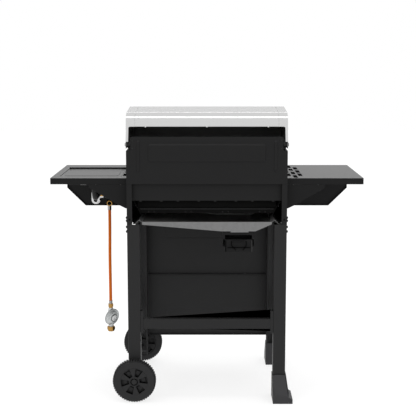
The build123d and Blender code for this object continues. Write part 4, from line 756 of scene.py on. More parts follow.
def softened(node: str, width: float, crease: float = CREASE, segments: int = 2,
             flat: float = 0.8, bends: Sequence[Point] = (),
             reshape: Callable[[np.ndarray], np.ndarray] | None = None) -> bpy.types.Object:
    """Copies a solid with its triangles joined to whole faces and its edges rounded.

    Args:
        node: the solid.
        width: how far the rounding reaches from each edge; 0 leaves the edges sharp.
        crease: edges that turn more than this many degrees are rounded.
        segments: faces across each rounding.
        flat: faces within this many degrees are joined.
        bends: (Y, Z, reach) of lines along X where the sheet is bent in a wide round.
        reshape: gives the points new places before the edges are rounded.

    Returns:
        The copy, which stands for the solid and rides on its body.
    """
    piece = bpy.data.objects.new(f"{node}_shell", frame["nodes"][node].data.copy())
    bpy.context.scene.collection.objects.link(piece)
    if reshape is not None:
        vertices = piece.data.vertices
        vertices.foreach_set("co", reshape(read(vertices, "co")).ravel())
    shape = bmesh.new()
    shape.from_mesh(piece.data)
    bmesh.ops.remove_doubles(shape, verts=shape.verts, dist=MERGE)
    bmesh.ops.dissolve_limit(shape, angle_limit=math.radians(flat), verts=shape.verts,
                             edges=shape.edges)
    for y, z, reach in bends:
        near = [edge for edge in shape.edges if on_bend(edge, y, z)]
        rounded(shape, near, reach, BEND_SEGMENTS)
    if width > 0:
        sharp = [edge for edge in shape.edges
                 if edge.is_manifold and edge.calc_face_angle() > math.radians(crease)]
        rounded(shape, sharp, width, segments)
    shape.to_mesh(piece.data)
    shape.free()
    smooth(piece, crease)
    piece.modifiers.new("weighted", "WEIGHTED_NORMAL").keep_sharp = True
    return stands_for(piece, node)


@dataclass
class Assembly:
    """A group of pieces that take their finishes from one paintbox."""

    paint: Paintbox

    def dress(self, node: str, width: float, base: Coat, *areas: Area, **softening: object) -> None:
        """Softens a solid by a width and the other options of softened, and coats it."""
        self.paint.coat(softened(node, width, **softening), base, *areas)

    def add(self, piece: bpy.types.Object, node: str, base: Coat, *areas: Area) -> None:
        """Coats a new piece that moves with a solid."""
        self.paint.coat(fixed_to(piece, node), base, *areas)

    def screwed(self, name: str, node: str, places: Sequence[Point], size: Pair,
                base: Coat) -> None:
        """Puts screw heads of a (radius, height) on a solid, where they look to the rear."""
        self.add(turned(name, pan_head(*size), places, REAR, HEAD_STEPS), node, base)


# ---------------------------------------------------------------- cart
@dataclass
class Cart(Assembly):
    """Legs, feet, cross members, front panels, axle and wheels."""

    edge: float = 0.0008
    flange_line: float = -0.235
    panel_top: float = 0.695
    panel_screws: Pair = (0.167, -0.167)
    screw: Pair = (0.0028, 0.0016)
    fold: Pair = (0.0141, 0.004)  # a screw's Y and Z from its panel's lowest corner
    # A dark strip over the gap above the front panels, as painted shade: its lowest and highest
    # corner.
    gap_strip: tuple[Point, Point] = ((-0.27, -0.2495, 0.705), (0.27, -0.248, 0.715))
    bolt_face: float = 0.3105
    bolt_rows: Pair = (-0.219, 0.219)
    bolt_heights: tuple[float, ...] = (0.729, 0.717, 0.6925, 0.6745)
    bolt_dome: Profile = ((0.0, 0.0), (0.0, 0.0056), (0.003, 0.0054), (0.0052, 0.0042),
                          (0.0064, 0.0022), (0.0066, 0.0))
    foot_top: Pair = (0.106, 0.098)  # height in the solid, and here
    block_top: tuple[float, float, float] = (0.037, 0.0255, 0.017)  # the same, then at the toe
    shoulder: float = -0.3253
    toe_away: float = 0.004
    same_height: float = 0.0008
    wheel_middle: Pair = (0.2865, 0.085)
    notch_floor: Pair = (0.0815, 0.0846)
    tread_extra: float = 0.0032
    bore: float = 0.0056
    bore_ease: float = 0.0004
    pocket: Pair = (0.0185, 0.054)
    button: Profile = ((0.0, 0.0), (0.0, 0.006), (0.0004, 0.006), (0.0008, 0.0052), (0.0008, 0.0))
    hub_ring: Profile = ((0.0, 0.0105), (0.0, 0.0142), (0.0007, 0.0142), (0.0007, 0.0105),
                         (0.0, 0.0105))
    hub_depths: Pair = (0.0002, 0.0062)  # of the button's and the ring's seats

    def lower_foot(self, points: np.ndarray) -> np.ndarray:
        """Lowers the top of a foot, and slopes the top of its block down to the toe.

        Args:
            points: rows of X, Y, Z.

        Returns:
            The rows with their new heights.
        """
        x, y, z = points.T
        start, inner, outer = self.block_top
        slope = np.where(x < self.shoulder - self.toe_away, outer, inner)
        height = np.where(np.abs(z - start) < self.same_height, slope, z)
        height = np.where(np.abs(z - self.foot_top[0]) < self.same_height, self.foot_top[1], height)
        return np.stack([x, y, height], -1)

    def eased_wheel(self, points: np.ndarray) -> np.ndarray:
        """Draws the floors of the tread's notches towards the axle, and opens the bore a little.

        Args:
            points: rows of X, Y, Z.

        Returns:
            The rows, each at middle + away * new radius / radius.
        """
        middle = np.array(self.wheel_middle)
        away = points[:, [0, 2]] - middle
        radius = np.linalg.norm(away, axis=1)
        floor = (radius > self.notch_floor[0]) & (radius < self.notch_floor[1])
        target = np.where(floor, radius - self.tread_extra, radius)
        target = np.where(radius < self.bore, radius + self.bore_ease, target)
        flat = middle + away * (target / np.maximum(radius, MERGE))[:, None]
        return np.stack([flat[:, 0], points[:, 1], flat[:, 1]], -1)

    def pockets(self, face: Faces) -> np.ndarray:
        """Test for the walls of the recesses in a wheel, faces that run along the axle near it;
        they are painted black as shade.
        """
        away = (face.x - self.wheel_middle[0]) ** 2 + (face.z - self.wheel_middle[1]) ** 2
        return ((np.abs(face.ny) < 0.5) & (away > self.pocket[0] ** 2)
                & (away < self.pocket[1] ** 2))

    def build(self) -> None:
        """Dresses the cart."""
        for node in ("leg_rear_left", "leg_rear_right", "rear_crossbar", "side_rails"):
            self.dress(node, self.edge, Coat.LEG)
        # The front legs' faces that look to the rear, between the rear legs and the front panels,
        # take the much lighter enamel as painted light.
        for node in ("leg_front_left", "leg_front_right"):
            self.dress(node, self.edge, Coat.LEG,
                       (Coat.FLANGE, lambda face: (face.ny > 0.5) & (face.y < self.flange_line)))
        for node in ("foot_front_left", "foot_rear_left"):
            self.dress(node, 0.0022, Coat.FOOT, segments=3, reshape=self.lower_foot)
        # The front panels' top folds take the matte dark coat as painted shade, where light from
        # the front would reach them through the gap under the control panel.
        for node in ("front_panel_upper", "front_panel_lower"):
            self.dress(node, 0.0006, Coat.PANEL,
                       (Coat.DEEP, lambda face: (face.nz > 0.3) & (face.z > self.panel_top)),
                       crease=25.0)
        for node in ("wheel_front", "wheel_rear"):
            self.dress(node, 0.0005, Coat.WHEEL, (Coat.SLEEVE, self.pockets),
                       reshape=self.eased_wheel)
        self.dress("wheel_axle", 0.0005, Coat.BOLT)
        self.hubs()
        self.bolts()
        self.screws()

    def hubs(self) -> None:
        """Puts a button on each end of the axle and a dark ring round it."""
        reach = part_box("wheel_axle")[1][1]
        x, z = self.wheel_middle
        for side, name in ((1.0, "rear"), (-1.0, "front")):
            place, seat = ((x, side * (reach - depth), z) for depth in self.hub_depths)
            axis = (0.0, side, 0.0)
            button = turned(f"axle_button_{name}", self.button, [place], axis, steps=32)
            self.add(button, "wheel_axle", Coat.WHEEL)
            ring = turned(f"hub_ring_{name}", self.hub_ring, [seat], axis, steps=40)
            self.add(ring, f"wheel_{name}", Coat.SLEEVE)

    def bolts(self) -> None:
        """Puts domed heads on the outer sides of the legs' upper ends."""
        rows = [(y, z) for y in self.bolt_rows for z in self.bolt_heights]
        domes = [turned("bolts", self.bolt_dome, [(side * self.bolt_face, y, z) for y, z in rows],
                        (side, 0.0, 0.0), HEAD_STEPS) for side in (1.0, -1.0)]
        self.paint.coat(stands_for(gathered("leg_bolts", domes), "frame_bolts"), Coat.SLEEVE)

    def screws(self) -> None:
        """Puts the front panels' screws on their rear folds, and a dark strip over the gap above as
        painted shade.
        """
        upper, lower = (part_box(f"front_panel_{name}")[0] for name in ("upper", "lower"))
        places = [(x, upper[1] + self.fold[0], z + self.fold[1])
                  for x in self.panel_screws for z in (upper[2], lower[2])]
        self.screwed("front_panel_screws", "front_panel_upper", places, self.screw, Coat.GLINT)
        self.add(bar("panel_gap_shade", *self.gap_strip), "front_panel_upper", Coat.DEEP)


# ---------------------------------------------------------------- firebox
@dataclass
class Firebox(Assembly):
    """Sides, tub, rear panel and what is inside."""

    edge: float = 0.0006
    wall: float = 0.3005
    tub_rear: Pair = (0.024, 0.795)  # how far in and how high its enamel reaches
    burner_count: int = 4
    burner_ends: float = 0.12
    tab_depth: float = 0.0005
    screw: Pair = (0.003, 0.0018)
    plug: Pair = (0.0034, 0.001)
    rail_screws: Pair = (0.011, 0.7485)  # X from the burner's middle, and Z
    rail_shade: tuple[Point, Point] = ((-0.272, 0.189, 0.7575), (0.272, 0.19, 0.799))
    lip_half: float = 0.262
    lip_heights: Pair = (0.759, 0.762)
    lip_depths: Pair = (-0.0005, 0.0006)  # Y from the rear faces of the burners' tabs
    panel_rear: float = 0.244
    panel_sheet: float = 0.0015
    corner_screws: tuple[float, Pair] = (0.286, (1.033, 1.0015))
    post_plug: Pair = (0.3, 0.725)

    def inner(self, side: float) -> Test:
        """Test for faces of a firebox side that look into the firebox."""
        return lambda face: (face.nx * side < -0.5) & (face.x * side < self.wall)

    def build(self) -> None:
        """Dresses the firebox."""
        for side, name in ((1.0, "right"), (-1.0, "left")):
            self.dress(f"firebox_side_{name}", self.edge, Coat.BODY, (Coat.DEEP, self.inner(side)))
        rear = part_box("firebox_tub")[1][1]
        depth, height = self.tub_rear
        self.dress("firebox_tub", 0.0003, Coat.DEEP,
                   (Coat.BODY, lambda face: (face.ny > 0.9) & (face.y > rear - depth)
                    & (face.z > height)))
        self.dress("rear_panel", 0.0008, Coat.BODY, crease=20.0)
        self.dress("burner_rail", 0.0004, Coat.SHADE)
        self.dress("burners", 0.0004, Coat.BURNER,
                   (Coat.SHADE, lambda face: face.y > self.burner_ends))
        self.dress("flame_tamers", 0.0004, Coat.BURNER)
        self.dress("cooking_grates", 0.0012, Coat.CAST)
        self.dress("warming_rack", 0.0, Coat.WIRE)
        self.screws()

    def screws(self) -> None:
        """Puts on the screw pairs of the burners' tabs, a lighter strip along the rail's top edge
        as a painted highlight, and the rear panel's screws.

        Each pair stands about the middle of its burner's points at the tabs' rear faces.
        """
        points = read(frame["nodes"]["burners"].data.vertices, "co")
        reach = points[:, 1].max()
        tabs = np.unique(np.round(points[points[:, 1] > reach - self.tab_depth, 0], 3))
        spread, height = self.rail_screws
        places = [(x + step, reach, height) for x in tabs.reshape(self.burner_count, -1).mean(1)
                  for step in (-spread, spread)]
        self.screwed("burner_screws", "burner_rail", places, self.screw, Coat.BOLT)
        self.add(bar("burner_rail_shade", *self.rail_shade), "burner_rail", Coat.SHADE)
        # A lighter strip along the rail's top edge: a painted highlight.
        low, high = ((side * self.lip_half, reach + y, z)
                     for side, y, z in zip((-1.0, 1.0), self.lip_depths, self.lip_heights))
        lip = bar("burner_rail_highlight", low, high)
        self.add(lip, "burner_rail", Coat.PANEL)
        x, heights = self.corner_screws
        corners = [(side * x, self.panel_rear + self.panel_sheet, z) for side in SIDES
                   for z in heights]
        self.screwed("rear_panel_screws", "rear_panel", corners, self.screw, Coat.BOLT)
        x, z = self.post_plug
        holes = [(side * x, self.panel_rear, z) for side in SIDES]
        self.screwed("post_plugs", "leg_rear_left", holes, self.plug, Coat.SLEEVE)


# ---------------------------------------------------------------- lid
@dataclass
class Lid(Assembly):
    """Silver lid with its end caps, handle, hinge pins and thermometer."""

    edge: float = 0.0004
    bends: tuple[Point, ...] = ((0.197, 1.1162, 0.013), (0.16, 1.1355, 0.008))
    shifted: Point = (0.197, 1.12, -0.0038)  # Y and Z of the lower bend, and its shift
    core: Pair = (0.02, 0.98)  # Y and Z
    cap_face: float = 0.3128
    clip: Profile = ((0.0, 0.0), (0.0, 0.004), (0.0026, 0.004), (0.005, 0.0028), (0.0058, 0.0))
    clip_x: tuple[float, ...] = (-0.2375, 0.0, 0.2375)
    clip_y: float = 0.1982
    clip_sunk: float = 0.0004
    opening: Pair = (0.3048, 1.083)  # half its width, and its top
    corner: float = 0.008
    corner_y: Pair = (0.1986, 0.1998)
    corner_lap: float = 0.001  # how far a corner reaches over the opening's edges
    gauge_tilt: float = 86.0
    gauge_front: float = 0.0025
    gauge_radius: float = 0.0217
    dial_levels: Pair = (-0.0001, 0.0002)
    sweep: float = 135.0
    ticks: int = 31
    numbers: tuple[int, ...] = (50, 100, 150, 200, 250, 300, 350)
    number_radius: float = 0.0138
    number_size: float = 0.0038
    number_depth: float = 0.00012
    number_level: float = 0.0004
    number_step: int = 5  # ticks from number to number
    leaf: float = 0.0003
    fine: Point = (0.0188, 0.0204, 0.0004)
    coarse: Point = (0.0174, 0.0204, 0.0008)
    needle: tuple[float, float, float, float] = (-0.004, 0.016, 0.0012, 0.0007)

    def lower_bend(self, points: np.ndarray) -> np.ndarray:
        """Moves the points near the given (Y, Z) up by the given shift."""
        near = np.hypot(*(points[:, 1:] - self.shifted[:2]).T) < BEND_NEAR
        return points + np.where(near, self.shifted[2], 0.0)[:, None] * np.array(UP)

    def inside(self, face: Faces) -> np.ndarray:
        """Test for faces that look towards the core of the lid."""
        y, z = self.core
        return face.ny * (y - face.y) + face.nz * (z - face.z) > 0.0

    def cap_inside(self, side: float) -> Test:
        """Test for faces of an end cap that look inwards."""
        return lambda face: ((face.nx * side < -0.5) & (face.x * side < self.cap_face)
                             | self.inside(face) & (np.abs(face.nx) < 0.5))

    def build(self) -> None:
        """Dresses the lid."""
        bent = {"flat": 0.2, "bends": self.bends, "reshape": self.lower_bend}
        self.dress("lid_skin", self.edge, Coat.LID, (Coat.INSIDE, self.inside), **bent)
        for node, side in (("lid_end_left", -1.0), ("lid_end_right", 1.0)):
            self.dress(node, self.edge, Coat.LID, (Coat.INSIDE, self.cap_inside(side)), **bent)
        self.dress("lid_handle", 0.0, Coat.STAINLESS)
        self.dress("handle_arms", 0.0012, Coat.KNOB, segments=3)
        self.dress("hinge_pins", self.edge, Coat.BOLT)
        self.clips()
        self.thermometer()

    def clips(self) -> None:
        """Makes three small tabs under the rear edge, and the rounded corners of the opening.

        A corner is a fan from the corner point to an arc: centre + radius * (cos, sin) over a
        quarter turn.
        """
        half, top = self.opening
        places = [(x, self.clip_y, top + self.clip_sunk) for x in self.clip_x]
        pieces = [turned("tabs", self.clip, places, DOWN, HEAD_STEPS)]
        angle = np.linspace(0, np.pi / 2, 9)
        arc = np.stack([half - self.corner * (1 - np.cos(angle)),
                        top - self.corner * (1 - np.sin(angle))], -1)
        tip = np.repeat([[half + self.corner_lap, top + self.corner_lap]], len(arc), 0)
        for side in SIDES:
            rows = np.stack([tip, arc, arc, tip]) * np.array((side, 1.0))
            pieces.append(layered("corner", rows, np.repeat(self.corner_y, 2), 1, True))
        self.add(gathered("lid_edge_trim", pieces), "lid_skin", Coat.LID)

    def dial_axes(self) -> np.ndarray:
        """Gives the dial's place on the lid's face.

        Returns:
            Four rows: its middle, and unit vectors to its right, up and out of it.
        """
        low, high = (np.asarray(corner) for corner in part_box("thermometer"))
        turn = math.radians(self.gauge_tilt)
        out = np.array((0.0, -math.sin(turn), math.cos(turn)))
        up = np.array((0.0, math.cos(turn), math.sin(turn)))
        return np.stack([(low + high) / 2 + out * self.gauge_front, (1.0, 0.0, 0.0), up, out])

    def dial_points(self, flat: np.ndarray) -> np.ndarray:
        """Puts points on the dial: middle plus three unit vectors times (right, up, out)."""
        middle, right, up, out = self.dial_axes()
        return middle + flat[..., :1] * right + flat[..., 1:2] * up + flat[..., 2:] * out

    def marks(self, name: str, angle: np.ndarray, start: float, end: float, width: float,
              level: float = 0.0002) -> bpy.types.Object:
        """Makes thin bars that point to the dial's middle.

        Args:
            name: the piece's name.
            angle: their directions, clockwise from the top, in radians.
            start: radius of their inner ends.
            end: radius of their outer ends.
            width: their width at the inner end; the outer end has half of it.
            level: height of their undersides over the dial.

        Returns:
            One mesh with a box for each angle.
        """
        along = np.stack([np.sin(angle), np.cos(angle)], -1)[:, None, :]
        across = np.stack([np.cos(angle), -np.sin(angle)], -1)[:, None, :]
        radius = np.array([start, start, end, end])[None, :, None]
        offset = np.array([-0.5, 0.5, 0.25, -0.25])[None, :, None] * width
        flat = along * radius + across * offset
        lower = np.concatenate([flat, np.full(flat.shape[:2] + (1,), level)], -1)
        upper = lower + np.array((0.0, 0.0, self.leaf))
        return boxes(name, self.dial_points(np.concatenate([lower, upper], 1)))

    def numerals(self, angles: np.ndarray) -> bpy.types.Object:
        """Makes the numbers round the dial from text, and then lays them on its face.

        Args:
            angles: their directions, clockwise from the top, in radians.

        Returns:
            One mesh.
        """
        made = []
        for value, angle in zip(self.numbers, angles):
            text = bpy.data.curves.new("number", "FONT")
            text.body = str(value)
            text.size = self.number_size
            text.extrude = self.number_depth
            text.align_x, text.align_y = "CENTER", "CENTER"
            holder = bpy.data.objects.new("number", text)
            mesh = bpy.data.meshes.new_from_object(holder)
            place = np.array((math.sin(angle), math.cos(angle), 0.0)) * self.number_radius
            lift = np.array((0.0, 0.0, self.number_level))
            points = read(mesh.vertices, "co") + place + lift
            mesh.vertices.foreach_set("co", self.dial_points(points).ravel())
            made.append(bpy.data.objects.new("number", mesh))
            bpy.data.objects.remove(holder)
        return gathered("thermometer_numbers", made)

    def thermometer(self) -> None:
        """Dresses the body and makes a white dial with ticks and numbers, and a red needle."""
        self.dress("thermometer", self.edge, Coat.BEZEL)
        middle, _, _, out = self.dial_axes()
        low, high = self.dial_levels
        disc = [(low, 0.0), (low, self.gauge_radius), (high, self.gauge_radius), (high, 0.0)]
        face = turned("thermometer_dial", disc, [middle], out, steps=64)
        self.add(face, "thermometer", Coat.DIAL)
        sweep = np.radians(np.linspace(-self.sweep, self.sweep, self.ticks))
        numbered = sweep[::self.number_step]
        scale = [self.marks("fine", sweep, *self.fine),
                 self.marks("coarse", numbered, *self.coarse), self.numerals(numbered)]
        self.add(gathered("thermometer_scale", scale), "thermometer", Coat.INK)
        needle = self.marks("thermometer_needle", sweep[:1], *self.needle)
        self.add(needle, "thermometer", Coat.NEEDLE)


# ---------------------------------------------------------------- tray and cup
@dataclass
class Drippings(Assembly):
    """Drip tray, its rails, the grease cup and its holder."""

    slope: float = 0.2
    flange: float = 0.2765
    lip_x: Pair = (-0.1264 - 0.0355, -0.1264 + 0.0345)
    lip_y: Pair = (-0.0003, 0.0006)
    lip_z: Pair = (-0.004, 0.002)
    goblet_near: Profile = ((-0.0955, 0.641), (-0.0955, 0.6245), (-0.1134, 0.6048))
    goblet_far: Profile = ((-0.1532, 0.641), (-0.1532, 0.6245), (-0.14, 0.6048))
    seam: tuple[Pair, Pair] = ((-0.0805, 0.6154), (-0.17, 0.6154))
    near_end: tuple[Pair, Pair] = ((-0.0735, 0.644), (-0.0735, 0.599))
    far_end: tuple[Pair, Pair] = ((-0.1752, 0.644), (-0.1752, 0.599))
    pressed_width: float = 0.0036
    edge_width: float = 0.0024
    stroke_rear: float = 0.0003
    stroke_thick: float = 0.0006

    def build(self) -> None:
        """Dresses the tray, the rails, the holder and the cup."""
        # The tray's sloped inner flanges take a darker grey and its outer flanges the dark enamel,
        # both as painted shade.
        self.dress("drip_tray", 0.0005, Coat.ZINC,
                   (Coat.TRAY_INSIDE, lambda face: face.nz > 0.3),
                   (Coat.EDGE, lambda face: (face.nz > 0.3) & (np.abs(face.x) > self.slope)),
                   (Coat.LEG, lambda face: np.abs(face.x) > self.flange))
        self.dress("tray_rails", 0.0005, Coat.LEG)
        self.dress("cup_holder", 0.0004, Coat.SKIRT)
        self.dress("grease_cup", 0.0008, Coat.SKIRT)
        self.trim()

    def strokes(self, name: str, lines: Sequence[tuple[Pair, Pair]], width: float,
                base: Coat) -> None:
        """Puts straight strips on the cup's rear face: along each line, half the width each way.

        Args:
            name: the piece's name.
            lines: (X, Z) of both ends of each strip.
            width: their width.
            base: their finish.
        """
        ends = np.asarray(lines, float)
        along = ends[:, 1] - ends[:, 0]
        length = np.linalg.norm(along, axis=1)[:, None]
        across = np.stack([-along[:, 1], along[:, 0]], -1) / length * width / 2
        flat = np.stack([ends[:, 0] - across, ends[:, 1] - across, ends[:, 1] + across,
                         ends[:, 0] + across], 1)
        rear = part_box("grease_cup")[1][1] + self.stroke_rear
        corners = [np.insert(flat, 1, y, -1) for y in (rear - self.stroke_thick, rear)]
        self.add(boxes(name, np.concatenate(corners, 1)), "grease_cup", base)

    def trim(self) -> None:
        """Makes a lip under the tray's rear edge, black strips along the cup's pressed lines as
        painted shade, and a lighter strip on its far edge as a painted highlight.
        """
        rear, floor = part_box("drip_tray")[1][1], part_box("cup_holder")[1][2]
        low, high = ((x, rear + y, floor + z)
                     for x, y, z in zip(self.lip_x, self.lip_y, self.lip_z))
        self.add(bar("tray_lip", low, high, 0.0002), "drip_tray", Coat.ZINC)
        lines = [*zip(self.goblet_near, self.goblet_near[1:]),
                 *zip(self.goblet_far, self.goblet_far[1:]), self.seam, self.near_end]
        # Black strips along the pressed lines stand for their shade; a lighter strip on the far
        # edge is a painted highlight.
        self.strokes("cup_crease_shade", lines, self.pressed_width, Coat.SLEEVE)
        self.strokes("cup_edge_highlight", [self.far_end], self.edge_width, Coat.GLINT)


# ---------------------------------------------------------------- tables
@dataclass
class Tables(Assembly):
    """Side tables, gussets, control panel, side burner, bezels and knobs."""

    first_slot: float = 0.326
    slot_middle: float = -0.015
    slot_pitch: Pair = (0.023, 0.111)
    slot_reach: Pair = (0.0058, 0.0295)
    slot_growth: Pair = (1.5, 1.42)
    slot_columns: int = 3
    slot_rows: float = 0.2
    slot_height: float = 0.878
    top_height: float = 0.87
    skin: float = 0.0006
    mark_half: float = 0.0011
    mark_ends: Pair = (0.0065, 0.0145)
    mark_depths: Pair = (0.0002, -0.0003)
    knobs: int = 5
    screw: Pair = (0.0021, 0.0016)
    screw_sunk: float = 0.0004
    gusset_screws: tuple[Pair, float] = ((0.336, 0.433), 0.8575)
    bowl_fold: tuple[Pair, Pair, Pair] = ((0.47, 0.493), (0.0012, 0.0002), (0.856, 0.859))

    def wider_slots(self, points: np.ndarray) -> np.ndarray:
        """Widens each slot about its own middle; the odd columns are half a row out of step.

        Args:
            points: rows of X, Y, Z.

        Returns:
            The rows, with each slot's points at middle + distance * growth.
        """
        x, y, z = points.T
        pitch_x, pitch_y = self.slot_pitch
        across = np.abs(x) - self.first_slot
        column = np.round(across / pitch_x)
        dx = across - column * pitch_x
        along = y - self.slot_middle - np.where(column % 2 == 1, 0.5, 0.0) * pitch_y
        dy = along - np.round(along / pitch_y) * pitch_y
        near = (column >= 0) & (column < self.slot_columns)
        near &= (np.abs(dx) < self.slot_reach[0]) & (np.abs(dy) < self.slot_reach[1])
        near &= (np.abs(y - self.slot_middle) < self.slot_rows) & (z > self.slot_height)
        wide, long = self.slot_growth
        moved = [x + np.sign(x) * dx * (wide - 1), y + dy * (long - 1), z]
        return np.where(near[:, None], np.stack(moved, -1), points)

    def top(self, face: Faces) -> np.ndarray:
        """Test for the upward faces of a table."""
        return (face.nz > 0.5) & (face.z > self.top_height)

    def hidden(self, node: str) -> Test:
        """Makes a test for the faces inside a table, which are painted black as shade.

        Args:
            node: the table.

        Returns:
            A test for the faces away from its outer box that don't look up.
        """
        box = [np.asarray(corner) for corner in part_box(node)]

        def test(face: Faces) -> np.ndarray:
            """Whether a face is inside."""
            outside = [np.abs(face.centres - corner) < self.skin for corner in box]
            return ~(outside[0] | outside[1]).any(1) & (face.nz < 0.5)
        return test

    def build(self) -> None:
        """Dresses the tables and what is in them."""
        for node in ("side_table_left", "side_table_right"):
            self.dress(node, 0.0008, Coat.SKIRT, (Coat.SLEEVE, self.hidden(node)),
                       (Coat.TABLE, self.top), reshape=self.wider_slots)
        # The lid's undersides and edges, in the gap round it, take the matte dark coat as painted
        # shade.
        self.dress("side_burner_lid", 0.0007, Coat.TABLE, (Coat.DEEP, lambda face: face.nz < 0.3))
        for node, width, coat in (("table_gussets", 0.0005, Coat.SKIRT),
                                  ("control_panel", 0.0008, Coat.BODY),
                                  ("side_burner_bowl", 0.0006, Coat.BODY),
                                  ("side_burner", 0.0006, Coat.CAST),
                                  ("side_burner_grate", 0.0008, Coat.CAST),
                                  ("knob_bezels", 0.0005, Coat.BEZEL)):
            self.dress(node, width, coat)
        for number in range(1, self.knobs + 1):
            self.knob(number)
        self.screws()

    def knob(self, number: int) -> None:
        """Dresses a knob and its stem, and puts a white line with round ends on the grip.

        Args:
            number: which knob, from 1 to 5.
        """
        node = f"knob_{number}"
        self.dress(node, 0.001, Coat.KNOB, segments=3)
        self.dress(f"valve_stem_{number}", 0.0003, Coat.PLATED)
        low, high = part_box(node)
        half, arc = self.mark_half, np.linspace(0, np.pi, 12)
        inner, outer = self.mark_ends
        ring = np.concatenate([np.stack([half * np.cos(arc), outer + half * np.sin(arc)], -1),
                               np.stack([-half * np.cos(arc), inner - half * np.sin(arc)], -1)])
        centre = np.repeat(ring.mean(0)[None], len(ring), 0)
        rows = np.array(((low[0] + high[0]) / 2, (low[2] + high[2]) / 2)) + np.stack(
            [centre, ring, ring, centre])
        mark = layered(f"{node}_mark", rows, low[1] + np.repeat(self.mark_depths, 2), 1, False)
        self.add(mark, node, Coat.MARK)

    def screws(self) -> None:
        """Puts small screws on the seam over each gusset, and a light bar under the burner's bowl
        as a painted highlight.
        """
        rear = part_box("table_gussets")[1][1]
        columns, height = self.gusset_screws
        places = [(side * x, rear - self.screw_sunk, height) for side in SIDES for x in columns]
        self.screwed("gusset_screws", "table_gussets", places, self.screw, Coat.GLINT)
        x, y, z = self.bowl_fold
        # A light grey bar under the bowl: a painted highlight.
        fold = bar("burner_bowl_glint", (x[0], rear - y[0], z[0]), (x[1], rear - y[1], z[1]))
        self.add(fold, "side_burner_bowl", Coat.EDGE)


